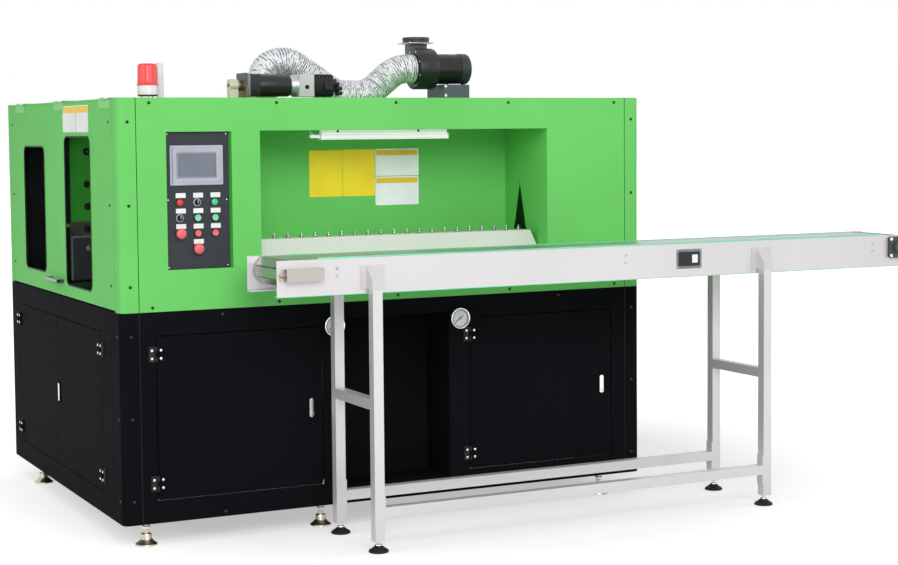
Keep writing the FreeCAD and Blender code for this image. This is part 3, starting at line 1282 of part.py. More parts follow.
# ---------------------------------------------------------------- inside the machine
def heating_oven():
    """Two lamp walls on either side of the chain's back run, under one hood."""
    deck_top = SEAM + DECK
    rear_y = OVEN_FRONT_Y + OVEN_WIDTH
    front = block(OVEN_X, (OVEN_FRONT_Y, OVEN_FRONT_Y + OVEN_SHEET), (deck_top, OVEN_TOP))
    rear = block(OVEN_X, (rear_y, rear_y + OVEN_SHEET), (deck_top, OVEN_TOP))
    hood = block(OVEN_X, (OVEN_FRONT_Y, rear_y + OVEN_SHEET), (OVEN_TOP, OVEN_TOP + OVEN_SHEET))
    solids = [front, rear, hood]
    lamp_top = OVEN_LAMP_Z + OVEN_LAMP_PITCH * OVEN_LAMP_ROWS
    lamp_length = OVEN_X[1] - OVEN_X[0] - 80
    for y in (OVEN_FRONT_Y + OVEN_SHEET, rear_y - OVEN_LAMP_GAP):
        for x in (OVEN_X[0] + 20, OVEN_X[1] - 40):
            solids.append(block((x, x + 20), (y, y + OVEN_LAMP_GAP), (OVEN_LAMP_Z - 20, lamp_top)))
        for row in range(OVEN_LAMP_ROWS):
            start = V(OVEN_X[0] + 40, y + OVEN_LAMP_GAP / 2, OVEN_LAMP_Z + OVEN_LAMP_PITCH * row)
            solids.append(flat_rod(start, X_AXIS, OVEN_LAMP_R, lamp_length, OVEN_LAMP_SIDES))
    return group(solids)


def tie_bar_places():
    return [(y, z) for y in (PLATEN_Y[0] + TIE_BAR_INSET, PLATEN_Y[1] - TIE_BAR_INSET)
            for z in (PLATEN_Z[0] + TIE_BAR_INSET, PLATEN_Z[1] - TIE_BAR_INSET)]


def cavity_y():
    middle = (MOULD_Y[0] + MOULD_Y[1]) / 2
    return (middle - CAVITY_PITCH / 2, middle + CAVITY_PITCH / 2)


def mould_half(x):
    """Mould block with half of each bottle cavity, open at the neck."""
    half = block(x, MOULD_Y, MOULD_Z)
    low = MOULD_Z[0] + 25
    for y in cavity_y():
        half = half.cut(flat_rod(V(PARTING_X, y, low), Z_AXIS, CAVITY_R, CAVITY_HEIGHT, BAR_SIDES))
        half = half.cut(flat_rod(V(PARTING_X, y, low), Z_AXIS, CAVITY_NECK_R, MOULD_Z[1] - low, BAR_SIDES))
    return half


def clamp_middle():
    return V(0, (PLATEN_Y[0] + PLATEN_Y[1]) / 2, (PLATEN_Z[0] + PLATEN_Z[1]) / 2)


def front_platen_x():
    start = PARTING_X + MOULD_THICK
    return (start, start + PLATEN_THICK)


def clamp_frame():
    """Two fixed platens, tie bars, clamp cylinder, fixed mould half and the two columns."""
    middle = clamp_middle()
    rear_x = (REAR_PLATEN_X, REAR_PLATEN_X + PLATEN_THICK)
    front_x = front_platen_x()
    deck_top = SEAM + DECK
    rear = block(rear_x, PLATEN_Y, (deck_top, PLATEN_Z[1]))
    ram_hole = flat_rod(V(rear_x[0], middle.y, middle.z), X_AXIS, RAM_R + RUNNING, PLATEN_THICK, BAR_SIDES)
    rear = rear.cut(ram_hole)
    front = block(front_x, PLATEN_Y, (deck_top, PLATEN_Z[1]))
    cylinder_length = CYLINDER_X[1] - CYLINDER_X[0]
    cylinder_end = V(CYLINDER_X[0], middle.y, middle.z)
    cylinder = flat_rod(cylinder_end, X_AXIS, CYLINDER_R, cylinder_length, WHEEL_SIDES)
    bore_end = cylinder_end + V(10, 0, 0)
    bore = flat_rod(bore_end, X_AXIS, RAM_R + 2, cylinder_length - 10, BAR_SIDES)
    solids = [joined([rear, cylinder.cut(bore)]), front]
    for y, z in tie_bar_places():
        solids.append(flat_rod(V(rear_x[1], y, z), X_AXIS, TIE_BAR_R, front_x[0] - rear_x[1], BAR_SIDES))
    solids.append(mould_half((PARTING_X + MOULD_GAP / 2, front_x[0])))
    column_x = (front_x[0] + front_x[1]) / 2
    for y in (PLATEN_Y[0] + TIE_BAR_INSET, PLATEN_Y[1] - TIE_BAR_INSET):
        column_foot = V(column_x, y, PLATEN_Z[1])
        solids.append(flat_rod(column_foot, Z_AXIS, COLUMN_R, COLUMN_TOP - PLATEN_Z[1], BAR_SIDES))
    return group(solids)


def moving_platen():
    """Moving platen on the tie bars with its ram and the other mould half."""
    middle = clamp_middle()
    x = (MOVING_PLATEN_X, MOVING_PLATEN_X + PLATEN_THICK)
    plate = block(x, PLATEN_Y, PLATEN_Z)
    for y, z in tie_bar_places():
        plate = plate.cut(flat_rod(V(x[0], y, z), X_AXIS, TIE_BAR_R + RUNNING, PLATEN_THICK, BAR_SIDES))
    ram_start = CYLINDER_X[0] + 10 + CLAMP_STROKE + 5
    ram = flat_rod(V(ram_start, middle.y, middle.z), X_AXIS, RAM_R, x[0] - ram_start, BAR_SIDES)
    half = mould_half((x[1], PARTING_X - MOULD_GAP / 2))
    return group([joined([plate, ram]), half])


def stretch_carriage():
    """Crosshead on the two columns with the two stretching rods over the cavities."""
    front_x = front_platen_x()
    column_x = (front_x[0] + front_x[1]) / 2
    plate = block((PARTING_X - 30, front_x[1] + 20), (PLATEN_Y[0] + 10, PLATEN_Y[1] - 10),
                  (STRETCH_Z, STRETCH_Z + STRETCH_THICK))
    for y in (PLATEN_Y[0] + TIE_BAR_INSET, PLATEN_Y[1] - TIE_BAR_INSET):
        hole_foot = V(column_x, y, STRETCH_Z)
        plate = plate.cut(flat_rod(hole_foot, Z_AXIS, COLUMN_R + RUNNING, STRETCH_THICK, BAR_SIDES))
    reach = STRETCH_Z - STRETCH_ROD_TIP
    rods = [flat_rod(V(PARTING_X, y, STRETCH_ROD_TIP), Z_AXIS, STRETCH_ROD_R, reach, BAR_SIDES)
            for y in cavity_y()]
    return joined([plate] + rods)


def cabinet_equipment():
    """Drive box and steel bed in the left bay, electrical plate and the air receiver."""
    deck_top = SEAM + DECK
    inside_x = side_bars_x()[0][1] + 6
    bed_y = (PLATEN_Y[1] + 5, PLATEN_Y[1] + 55)
    box_top = deck_top + DRIVE_BOX_HEIGHT
    box = block((inside_x, inside_x + DRIVE_BOX_WIDTH), bed_y, (deck_top, box_top))
    bed_x = (inside_x, inside_x + DRIVE_BOX_WIDTH)
    bed = block(bed_x, (bed_y[0] - 10, bed_y[1]), (box_top, box_top + BED_THICK))
    floor = BODY_BOTTOM + TUBE
    plate_x = (SWITCH_PLATE_X, LEFT_DOOR[1] - LOCK_INSET)
    plate_y = (SWITCH_PLATE_Y, SWITCH_PLATE_Y + SKIN + 1)
    plate = block(plate_x, plate_y, (floor, DOOR_TOP - 5))
    gear = []
    pitch_x = (plate_x[1] - plate_x[0]) / GEAR_COLUMNS
    pitch_z = (DOOR_TOP - 5 - floor) / (GEAR_ROWS + 0.5)
    for row in range(GEAR_ROWS):
        for column in range(GEAR_COLUMNS):
            x = plate_x[0] + pitch_x * (column + 0.15)
            z = floor + pitch_z * (row + 0.5)
            gear_y = (plate_y[0] - GEAR_DEEP, plate_y[0])
            gear.append(block((x, x + pitch_x * 0.7), gear_y, (z, z + pitch_z * 0.6)))
    tank_z = floor + TANK_RISE + TANK_R
    tank_x = WIDTH - TANK_FROM_RIGHT - TANK_LENGTH
    tank = flat_rod(V(tank_x, TANK_Y, tank_z), X_AXIS, TANK_R, TANK_LENGTH, WHEEL_SIDES)
    saddles = []
    for share in TANK_SADDLES:
        x = tank_x + TANK_LENGTH * share
        saddle_y = (TANK_Y - TANK_R * 0.7, TANK_Y + TANK_R * 0.7)
        saddle = block((x, x + SADDLE_WIDTH), saddle_y, (floor, tank_z - TANK_R * 0.4))
        saddles.append(saddle.cut(tank))
    return group([box, bed, plate] + gear + [tank] + saddles)


# ---------------------------------------------------------------- conveyor
def belt_axis_z():
    """Height of the two conveyor shafts."""
    return CONVEYOR_TOP - SLAT_DROP - SLAT_THICK / 2 - BELT_TURN_R


def belt_width_y():
    return (CONVEYOR_Y[0] + BELT_SIDE_GAP, CONVEYOR_Y[1] - BELT_SIDE_GAP)


def slat_belt():
    """Flat-top slats set along the closed loop at one even pitch."""
    straight = HEAD_X - TAIL_X
    arc = math.pi * BELT_TURN_R
    loop = 2 * (straight + arc)
    count = int(round(loop / SLAT_PITCH))
    pitch = loop / count
    y = belt_width_y()
    slats = []
    for index in range(count):
        slat = block((-(pitch - SLAT_GAP) / 2, (pitch - SLAT_GAP) / 2), y, (-SLAT_THICK / 2, SLAT_THICK / 2))
        s = index * pitch
        if s < straight:
            place, angle = V(TAIL_X + s, 0, belt_axis_z() + BELT_TURN_R), 0.0
        elif s < straight + arc:
            turn = (s - straight) / BELT_TURN_R
            place = V(HEAD_X + BELT_TURN_R * math.sin(turn), 0, belt_axis_z() + BELT_TURN_R * math.cos(turn))
            angle = turn
        elif s < 2 * straight + arc:
            place, angle = V(HEAD_X - (s - straight - arc), 0, belt_axis_z() - BELT_TURN_R), math.pi
        else:
            turn = (s - 2 * straight - arc) / BELT_TURN_R
            place = V(TAIL_X - BELT_TURN_R * math.sin(turn), 0, belt_axis_z() - BELT_TURN_R * math.cos(turn))
            angle = math.pi + turn
        slat.rotate(V(0, 0, 0), Y_AXIS, math.degrees(angle))
        slat.translate(place)
        slats.append(slat)
    return group(slats)


def rail_side(near):
    """One side rail: web with a lip turned in along its foot, bored for the shafts."""
    low = CONVEYOR_TOP - CONVEYOR_RAIL
    if near:
        web_y = (CONVEYOR_Y[0], CONVEYOR_Y[0] + RAIL_PLATE)
        lip_y = (CONVEYOR_Y[0], CONVEYOR_Y[0] + RAIL_LIP)
    else:
        web_y = (CONVEYOR_Y[1] - RAIL_PLATE, CONVEYOR_Y[1])
        lip_y = (CONVEYOR_Y[1] - RAIL_LIP, CONVEYOR_Y[1])
    web = block(CONVEYOR_X, web_y, (low, CONVEYOR_TOP))
    lip = block(CONVEYOR_X, lip_y, (low, low + RAIL_PLATE))
    rail = joined([web, lip])
    for x in (TAIL_X, HEAD_X):
        web = V(x, web_y[0], belt_axis_z())
        rail = rail.cut(flat_rod(web, Y_AXIS, CONVEYOR_SHAFT_R + 6, RAIL_PLATE, BAR_SIDES))
    return rail


def conveyor_frame():
    """Side rails, cross ties and the two slide bars that carry the upper run."""
    inner_y = (CONVEYOR_Y[0] + RAIL_PLATE, CONVEYOR_Y[1] - RAIL_PLATE)
    slide_top = CONVEYOR_TOP - SLAT_DROP - SLAT_THICK
    slide_z = (slide_top - SLIDE_BAR, slide_top)
    solids = [rail_side(True), rail_side(False)]
    for x in TIE_X:
        solids.append(block((x, x + TIE_SIZE), inner_y, (slide_z[0] - TIE_SIZE, slide_z[0])))
    bar_x = (TAIL_X + BELT_TURN_R, HEAD_X - BELT_TURN_R)
    for y in (inner_y[0] + SLIDE_BAR_INSET, inner_y[1] - SLIDE_BAR_INSET - SLIDE_BAR):
        solids.append(block(bar_x, (y, y + SLIDE_BAR), slide_z))
    return group(solids)


def wear_strips():
    """Green strips beside the upper run and green edging under the rails."""
    low = CONVEYOR_TOP - CONVEYOR_RAIL
    near = CONVEYOR_Y[0] + RAIL_PLATE
    far = CONVEYOR_Y[1] - RAIL_PLATE
    strip_z = (CONVEYOR_TOP - STRIP_THICK, CONVEYOR_TOP)
    solids = [block(STRIP_X, (near, near + STRIP_WIDTH), strip_z),
              block(STRIP_X, (far - STRIP_WIDTH, far), strip_z)]
    for y in ((CONVEYOR_Y[0], CONVEYOR_Y[0] + RAIL_LIP), (CONVEYOR_Y[1] - RAIL_LIP, CONVEYOR_Y[1])):
        solids.append(block(CONVEYOR_X, y, (low - EDGE_TRIM, low)))
    return group(solids)


def sprocket(y):
    """Toothed wheel as a star-shaped plate."""
    points = []
    for index in range(2 * SPROCKET_TEETH):
        radius = SPROCKET_R if index % 2 == 0 else SPROCKET_ROOT_R
        angle = index * math.pi / SPROCKET_TEETH
        points.append(V(radius * math.cos(angle), y, radius * math.sin(angle)))
    return prism(points, V(0, SPROCKET_WIDTH, 0))


def drive_stub():
    """Turned-down end of the head shaft for the drive, clear of the bearing."""
    start = CONVEYOR_Y[0] - BEARING_THICK - BEARING_HUB - CONVEYOR_SHAFT_OUT
    return rod(V(0, start, 0), Y_AXIS, DRIVE_END_R, CONVEYOR_SHAFT_OUT)


def conveyor_shaft(x, reach, stub):
    """Octagonal shaft with round ends in the bearings and three sprockets, centred on x."""
    start = CONVEYOR_Y[0] - reach
    end = CONVEYOR_Y[1] + reach
    inner = (CONVEYOR_Y[0] + RAIL_PLATE + 1, CONVEYOR_Y[1] - RAIL_PLATE - 1)
    middle = flat_rod(V(0, inner[0], 0), Y_AXIS, CONVEYOR_SHAFT_R + 2, inner[1] - inner[0], SHAFT_FLATS)
    round_ends = [rod(V(0, start, 0), Y_AXIS, CONVEYOR_SHAFT_R, inner[0] - start),
                  rod(V(0, inner[1], 0), Y_AXIS, CONVEYOR_SHAFT_R, end - inner[1])]
    low, high = belt_width_y()
    last_y = high - SPROCKET_INSET - SPROCKET_WIDTH
    wheel_y = (low + SPROCKET_INSET, (low + high) / 2 - SPROCKET_WIDTH / 2, last_y)
    whole = joined([middle] + round_ends + [sprocket(y) for y in wheel_y] + stub)
    whole.translate(V(x, 0, belt_axis_z()))
    return whole


def shaft_bearings():
    """Flange bearings at the head, take-up bearings under folded covers at the tail."""
    solids = []
    bore_r = CONVEYOR_SHAFT_R + RUNNING
    z = belt_axis_z()
    for side, y in ((-1, CONVEYOR_Y[0]), (1, CONVEYOR_Y[1])):
        half = BEARING_SIZE / 2
        span = sorted((y, y + side * BEARING_THICK))
        plate = cut_cornered((HEAD_X - half, HEAD_X + half), span, (z - half, z + half), 8.0, "y")
        hub_foot = V(HEAD_X, y + side * BEARING_THICK, z)
        hub = flat_rod(hub_foot, Y_AXIS * side, BEARING_HUB_R, BEARING_HUB, WHEEL_SIDES)
        bore = flat_bore(V(HEAD_X, y, z), Y_AXIS * side, bore_r, BEARING_THICK + BEARING_HUB, BAR_SIDES)
        solids.append(joined([plate, hub]).cut(bore))
        cover_z = (z - TAKE_UP_HEIGHT / 2, z + TAKE_UP_HEIGHT / 2)
        outer = block(TAKE_UP_X, sorted((y, y + side * TAKE_UP_DEEP)), cover_z)
        sheet = TAKE_UP_SHEET
        inner = block((TAKE_UP_X[0], TAKE_UP_X[1] - sheet), sorted((y, y + side * (TAKE_UP_DEEP - sheet))),
                      (cover_z[0] + sheet, cover_z[1] - sheet))
        solids.append(outer.cut(inner))
        half = CARRIER[0] / 2
        carrier = block((TAIL_X - half, TAIL_X + half), sorted((y, y + side * TAIL_SHAFT_REACH)),
                        (z - CARRIER[1] / 2, z + CARRIER[1] / 2))
        bore = flat_bore(V(TAIL_X, y, z), Y_AXIS * side, bore_r, TAIL_SHAFT_REACH, BAR_SIDES)
        screw_start = V(TAIL_X - half - TAKE_UP_SCREW[1], y + side * TAIL_SHAFT_REACH / 2, z)
        screw = flat_rod(screw_start, X_AXIS, TAKE_UP_SCREW[0], TAKE_UP_SCREW[1], BAR_SIDES)
        solids.append(joined([carrier.cut(bore), screw]))
    return group(solids)


def leg_rows_y():
    """Near and far row of legs, each just outside its rail."""
    near = CONVEYOR_Y[0] - LEG_CLEAR
    far = CONVEYOR_Y[1] + LEG_CLEAR
    return ((near - LEG, near), (far, far + LEG))


def conveyor_stand():
    """Two H frames of square tube and two stretchers bolted between them."""
    near, far = leg_rows_y()
    bars = []
    for x in LEG_FRAMES_X:
        span = (x, x + LEG)
        for y in (near, far):
            bars.append(block(span, y, (LEG_BOTTOM, LEG_TOP)))
        bars.append(block(span, (near[1], far[0]), (CROSSBAR_Z, CROSSBAR_Z + LEG)))
    start = LEG_FRAMES_X[0] + LEG
    end = LEG_FRAMES_X[1]
    plate_low = STRETCHER_Z + LEG / 2 - END_PLATE_HEIGHT / 2
    plate_z = (plate_low, plate_low + END_PLATE_HEIGHT)
    for y in (near, far):
        bars.append(block((start + END_PLATE, end - END_PLATE), y, (STRETCHER_Z, STRETCHER_Z + LEG)))
        bars.append(block((start, start + END_PLATE), y, plate_z))
        bars.append(block((end - END_PLATE, end), y, plate_z))
    return group(bars)


def leg_bracket(x, near):
    """Folded hat over a leg's top, sloping back to the rail, with a bolted flange each side."""
    rows = leg_rows_y()
    sheet = HAT_SHEET
    wall = CONVEYOR_Y[0] if near else CONVEYOR_Y[1]
    front = rows[0][0] if near else rows[1][1]
    away = -1 if near else 1
    face = front + away * sheet

    def wedge(span, grow, low_z):
        top = HAT_Z[1] - (0 if grow else sheet)
        tip = HAT_FRONT_TOP - (0 if grow else sheet)
        reach = face if grow else front
        outline = [(wall, low_z), (reach, low_z), (reach, tip), (wall, top)]
        return prism([V(span[0], y, z) for y, z in outline], V(span[1] - span[0], 0, 0))

    outer = wedge((x - sheet, x + LEG + sheet), True, HAT_Z[0])
    inner = wedge((x, x + LEG), False, HAT_Z[0])
    flange_y = sorted((wall, wall + away * sheet))
    flanges = [block((x - sheet - HAT_FLANGE, x - sheet), flange_y, HAT_Z),
               block((x + LEG + sheet, x + LEG + sheet + HAT_FLANGE), flange_y, HAT_Z)]
    return joined([outer.cut(inner)] + flanges)


def leg_brackets():
    return group([leg_bracket(x, near) for x in LEG_FRAMES_X for near in (True, False)])


def conveyor_feet():
    """Black cone pads with a ball stud under each leg."""
    outline = [(PAD_R, 0), (PAD_R, PAD_RIM), (PAD_BALL_R, PAD_CONE_TOP), (PAD_BALL_R, PAD_BALL_TOP),
               (PAD_STUD_R, PAD_BALL_TOP), (PAD_STUD_R, LEG_BOTTOM)]
    solids = []
    for x in LEG_FRAMES_X:
        for y in leg_rows_y():
            solids.append(many_sided(outline, V(x + LEG / 2, (y[0] + y[1]) / 2, 0), Z_AXIS, FOOT_SIDES))
    return group(solids)


# ---------------------------------------------------------------- assembly
def build():
    parts["machine_frame"] = machine_frame()
    parts["upper_corner_posts"] = four_corners(CORNER_SIDE, SEAM, ROOF)
    parts["lower_corner_posts"] = four_corners(LOWER_CORNER_SIDE, BODY_BOTTOM, SEAM)
    parts["upper_front_panel"] = upper_front_panel()
    parts["recess_liner"] = recess_liner()
    parts["roof_and_back_sheets"] = roof_and_back_sheets()
    parts["lower_front_panel"] = lower_front_panel()
    parts["lower_panels"] = lower_panels()
    parts["machine_feet"] = machine_feet()
    parts["control_panel"] = control_panel()
    parts["hmi_terminal"] = hmi_terminal()
    parts["operator_bodies"] = operator_bodies()
    operators()
    parts["recess_lamp"] = recess_lamp()
    parts["pressure_gauges"] = pressure_gauges()
    parts["spindle_rail"] = spindle_rail()
    parts["spindles"] = spindles()
    parts["spindle_chain"] = spindle_chain()
    parts["beacon_base"] = beacon_base()
    parts["beacon_lens"] = beacon_lens()
    parts["servo_gearmotor"] = servo_gearmotor()
    parts["roof_brackets"] = roof_brackets()
    parts["drive_lever"] = drive_lever()
    parts["aluminium_duct"] = aluminium_duct()
    parts["blower_scroll"] = blower_scroll()
    parts["blower_motor"] = blower_motor()
    parts["blower_impeller"] = blower_impeller()
    parts["heating_oven"] = heating_oven()
    parts["clamp_frame"] = clamp_frame()
    parts["moving_platen"] = moving_platen()
    parts["stretch_carriage"] = stretch_carriage()
    parts["cabinet_equipment"] = cabinet_equipment()
    parts["hinge_leaves"] = group(lower_doors() + gull_doors())
    parts["conveyor_frame"] = conveyor_frame()
    parts["slat_belt"] = slat_belt()
    parts["wear_strips"] = wear_strips()
    parts["conveyor_stand"] = conveyor_stand()
    parts["leg_brackets"] = leg_brackets()
    parts["conveyor_feet"] = conveyor_feet()
    parts["shaft_bearings"] = shaft_bearings()
    parts["head_shaft"] = conveyor_shaft(HEAD_X, BEARING_THICK + BEARING_HUB, [drive_stub()])
    parts["tail_shaft"] = conveyor_shaft(TAIL_X, TAIL_SHAFT_REACH, [])


def footprint_middle():
    """Middle of everything seen from above: pulls and rail ends across, pads and back deep."""
    left = -PULL_REACH
    right = CONVEYOR_X[1]
    near = (leg_rows_y()[0][0] + leg_rows_y()[0][1]) / 2 - PAD_R
    far = rear_foot_y() + FOOT_R
    return V((left + right) / 2, (near + far) / 2, 0)


build()
os.makedirs("parts", exist_ok=True)
shift = footprint_middle() * -1
for name, shape in parts.items():
    shape.translate(shift)
    shape.exportStep("parts/" + name + ".step")
    solids = shape.Solids
    print(name, len(solids), "solids", "valid" if shape.isValid() else "INVALID",
          round(sum(s.Volume for s in solids) / 1e6, 3), "litres")
print("origin", shift.x, shift.y, shift.z, "nodes", len(parts))
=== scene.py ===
import math
from functools import partial

import bmesh
import bpy
import numpy as np
from bpy.props import FloatProperty, FloatVectorProperty, IntProperty, PointerProperty
from mathutils import Matrix, Vector


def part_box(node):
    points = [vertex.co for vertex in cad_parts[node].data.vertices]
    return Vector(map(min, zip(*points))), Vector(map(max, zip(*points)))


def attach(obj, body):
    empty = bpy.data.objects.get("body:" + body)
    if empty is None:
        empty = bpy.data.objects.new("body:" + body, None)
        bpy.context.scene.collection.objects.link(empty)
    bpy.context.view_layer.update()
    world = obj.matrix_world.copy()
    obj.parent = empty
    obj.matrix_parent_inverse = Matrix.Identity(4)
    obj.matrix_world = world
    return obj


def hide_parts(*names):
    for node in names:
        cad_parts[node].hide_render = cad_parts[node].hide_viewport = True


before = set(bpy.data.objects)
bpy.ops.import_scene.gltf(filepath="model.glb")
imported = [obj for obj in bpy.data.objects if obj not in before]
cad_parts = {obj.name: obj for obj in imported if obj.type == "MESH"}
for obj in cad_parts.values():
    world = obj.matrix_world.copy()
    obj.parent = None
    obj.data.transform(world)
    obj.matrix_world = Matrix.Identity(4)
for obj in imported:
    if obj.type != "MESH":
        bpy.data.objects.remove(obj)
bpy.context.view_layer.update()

bl_info = {
    "name": "Blow moulding machine finishes",
    "version": (1, 0, 0),
    "blender": (4, 5, 0),
    "location": "3D View > Sidebar > Machine",
    "description": "Dresses the packed solids of a blow moulding machine and its slat conveyor",
    "category": "Object",
}

MM = 0.001
CORNER = np.array([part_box("upper_corner_posts")[0].x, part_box("upper_corner_posts")[0].y, 0.0])


def cabinet_box(node):
    """Low and high corner of a node's box in mm, from the cabinet's left side, front sheet and floor."""
    return [(np.array(corner) - CORNER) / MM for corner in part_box(node)]


SEAM = cabinet_box("upper_corner_posts")[0][2]
WIDTH, DEPTH, ROOF = cabinet_box("upper_corner_posts")[1]
BODY_BOTTOM = cabinet_box("lower_corner_posts")[0][2]

# sizes and places on the cabinet in mm, from the same three planes
CORNER_LEG = 70.0
SHEET_JOINT = 3.0
DOOR_FOOT = 172.0
DOOR_WIDTH = 658.0
DOOR_MIDDLES = (457.0, 1748.0)
SHEET_SCREW_HEIGHTS = (1560.0, 1256.0, 960.0, 779.0, 476.0, 172.0)
FRONT_SCREW_INSETS = (40.0, 122.0)
SIDE_SCREW_INSET = 36.0
DOOR_SCREWS_X = 391.0
DOOR_SCREW_HEIGHTS = (846.0, 103.0)
GULL_SCREW_Y = 105.0
GULL_LENGTH = 1600.0
GULL_PLATES = ((377.0, 551.0), (561.0, 751.0))
GULL_PLATE_HEIGHT = 1576.5
RECESS_WALL = 358.0
# information sheets on the recess wall: left, right, bottom, top
YELLOW_SHEETS = ((890.0, 1033.0, 1257.0, 1444.0), (1035.0, 1177.0, 1257.0, 1446.0))
WHITE_SHEETS = ((1180.0, 1375.0, 1337.0, 1447.0), (1179.0, 1374.0, 1217.0, 1334.0))
LAMP_Y = 75.0
LAMP_Z = 1500.0
LAMP_ENDS = (822.0, 1362.0)
LAMP_LEAD = ((818.0, 1500.0), (800.0, 1502.0), (786.0, 1512.0), (778.0, 1524.0))
PANEL_RIGHT = 436.0
PANEL_HEIGHTS = (1017.0, 1523.0)
PANEL_FACE = 14.0
BUTTON_COLUMNS = (236.0, 303.0, 370.0)
BUTTON_TOP_ROW = 1263.0
BUTTON_ROW_PITCH = 57.0
BEZEL_FACE = 10.0
HINGE_FACE = -8.5
HINGE_HEIGHTS = (233.0, 711.0)
HINGE_PINS_X = (131.5, 1421.5)
HINGE_PINS_Y = (259.5, 1557.5)
HINGE_SCREW = 17.0
HINGE_SCREW_RISE = 15.0
GAUGES_X = (835.0, 1374.0)
GAUGE_HEIGHT = 777.0
GAUGE_RADIUS = 42.5
GAUGE_DEEP = 20.0
WINDOWS = ((365.0, 738.0, 920.0, 1507.0), (1068.0, 1416.0, 948.0, 1466.0))
WINDOW_CORNER = 32.0
SERVICE_WALL_Y = 770.0
REAR_GUARD_Y = 1440.0
SPINDLE_PITCH = 57.15
CARRIER = (34.0, 30.0, 10.0)
DRIVE_Y = 450.0
DRIVE_Z = 1705.0
BLOWER_Y = 620.0
BLOWER_Z = 1783.0
DUCT_ROUTE = ((795.0, 1607.0), (795.0, 1775.0), (890.0, 1822.0), (1122.0, 1671.0),
              (1265.0, 1673.0), (1400.0, 1783.0), (1478.0, 1783.0))
DUCT_TANGENTS = (43.5, 62.0, 44.0, 44.0, 48.0)
CONVEYOR_FACE = -447.0
MACHINE_FEET = ((95.0, 44.0), (790.0, 44.0), (2045.0, 44.0), (52.0, 1411.0), (2168.0, 1411.0),
                (1110.0, 1693.0))

# ways that a fitting stands out of its sheet: across, up, outwards
X, Y, Z = np.eye(3)
FRONT = np.array([X, Z, -Y])
BACK = np.array([-X, Z, Y])
LEFT = np.array([-Y, Z, -X])
RIGHT = np.array([Y, Z, X])
TOP = np.array([X, Y, Z])
ORIGIN = (0.0, 0.0, 0.0)

FINISH = {}


# ---------------------------------------------------------------- shapes
def grid_quads(rows, cols, close_rows=False, close_cols=False):
    """Quads of a grid numbered row by row; a closed direction joins its last line to its first."""
    i = np.arange(rows if close_rows else rows - 1)[:, None]
    j = np.arange(cols if close_cols else cols - 1)[None, :]
    i2, j2 = (i + 1) % rows, (j + 1) % cols
    return np.stack([i * cols + j, i * cols + j2, i2 * cols + j2, i2 * cols + j], axis=-1).reshape(-1, 4)


def stand(local, origin=ORIGIN, basis=TOP):
    """World metres of local mm points, turned to a basis and moved to an origin on the cabinet."""
    return (np.asarray(local, float) @ basis + np.asarray(origin)) * MM + CORNER


def closed_skin(rings, origin=ORIGIN, basis=TOP):
    """Skin over a stack of rings of points; both ends are drawn together to the middle of their ring."""
    first, last = (np.broadcast_to(end.mean(axis=0), end.shape) for end in (rings[0], rings[-1]))
    stack = np.concatenate([first[None], rings, last[None]])
    return stand(stack.reshape(-1, 3), origin, basis), grid_quads(len(stack), stack.shape[1], close_cols=True)


def circle(sides):
    """Even angles once round."""
    return np.arange(sides) * 2 * math.pi / sides


def rings_round(profile, sides):
    """Rings of points: each (radius, height) of a profile goes once round the outward axis."""
    radius, height = np.array(profile, float).T[..., None]
    angle = circle(sides)
    return np.stack(np.broadcast_arrays(radius * np.cos(angle), radius * np.sin(angle), height), axis=-1)


def turned(profile, origin=ORIGIN, basis=FRONT, sides=24):
    """Turned form: the profile goes round the outward axis, with both ends closed."""
    return closed_skin(rings_round(profile, sides), origin, basis)


def sleeve(profile, origin=ORIGIN, basis=FRONT, sides=48):
    """Ring: a closed section of (radius, height) points goes round the outward axis."""
    points = rings_round(profile, sides).reshape(-1, 3)
    return stand(points, origin, basis), grid_quads(len(profile), sides, True, True)


def rounded_loop(half_u, half_v, radius, steps=3):
    """Outline of a rounded rectangle: a quarter arc of the radius round each inset corner."""
    quarter = np.linspace(0, math.pi / 2, steps + 1)
    angle = (quarter[None] + np.arange(4)[:, None] * math.pi / 2).ravel()
    sign_u = np.repeat([1, -1, -1, 1], steps + 1)
    sign_v = np.repeat([1, 1, -1, -1], steps + 1)
    return np.column_stack([sign_u * (half_u - radius) + radius * np.cos(angle),
                            sign_v * (half_v - radius) + radius * np.sin(angle)])


def level(loop, height):
    return np.column_stack([loop, np.full(len(loop), float(height))])


def bar(origin, size, basis=FRONT, corner=1.5, ease=0.5, steps=3):
    """Rounded bar standing on its origin: its outline goes outwards, drawn in by the ease at both ends."""
    u, v, w = size
    return closed_skin(np.stack([
        level(rounded_loop(u / 2 - inset, v / 2 - inset, max(corner - inset, 0.05), steps), height)
        for height, inset in ((0, ease), (ease, 0), (w - ease, 0), (w, ease))]), origin, basis)


def trim(middle, half_u, half_v, corner, section, basis=FRONT, steps=6):
    """Closed section carried round a rounded opening; each section point is (distance outside it, height)."""
    rows = np.stack([level(rounded_loop(half_u + out, half_v + out, corner + out, steps), height)
                     for out, height in section])
    return stand(rows.reshape(-1, 3), middle, basis), grid_quads(len(rows), rows.shape[1], True, True)


def lead(points, radius, sides=10):
    """Round lead through points in mm: each ring lies square to the way from the last point to the next."""
    ahead = np.gradient(points, axis=0)
    ahead /= np.linalg.norm(ahead, axis=1, keepdims=True)
    side = np.cross(ahead, Y)
    side /= np.linalg.norm(side, axis=1, keepdims=True)
    over = np.cross(side, ahead)
    angle = circle(sides)[None, :, None]
    ring = np.cos(angle) * side[:, None] + np.sin(angle) * over[:, None]
    return closed_skin(points[:, None] + radius * ring)


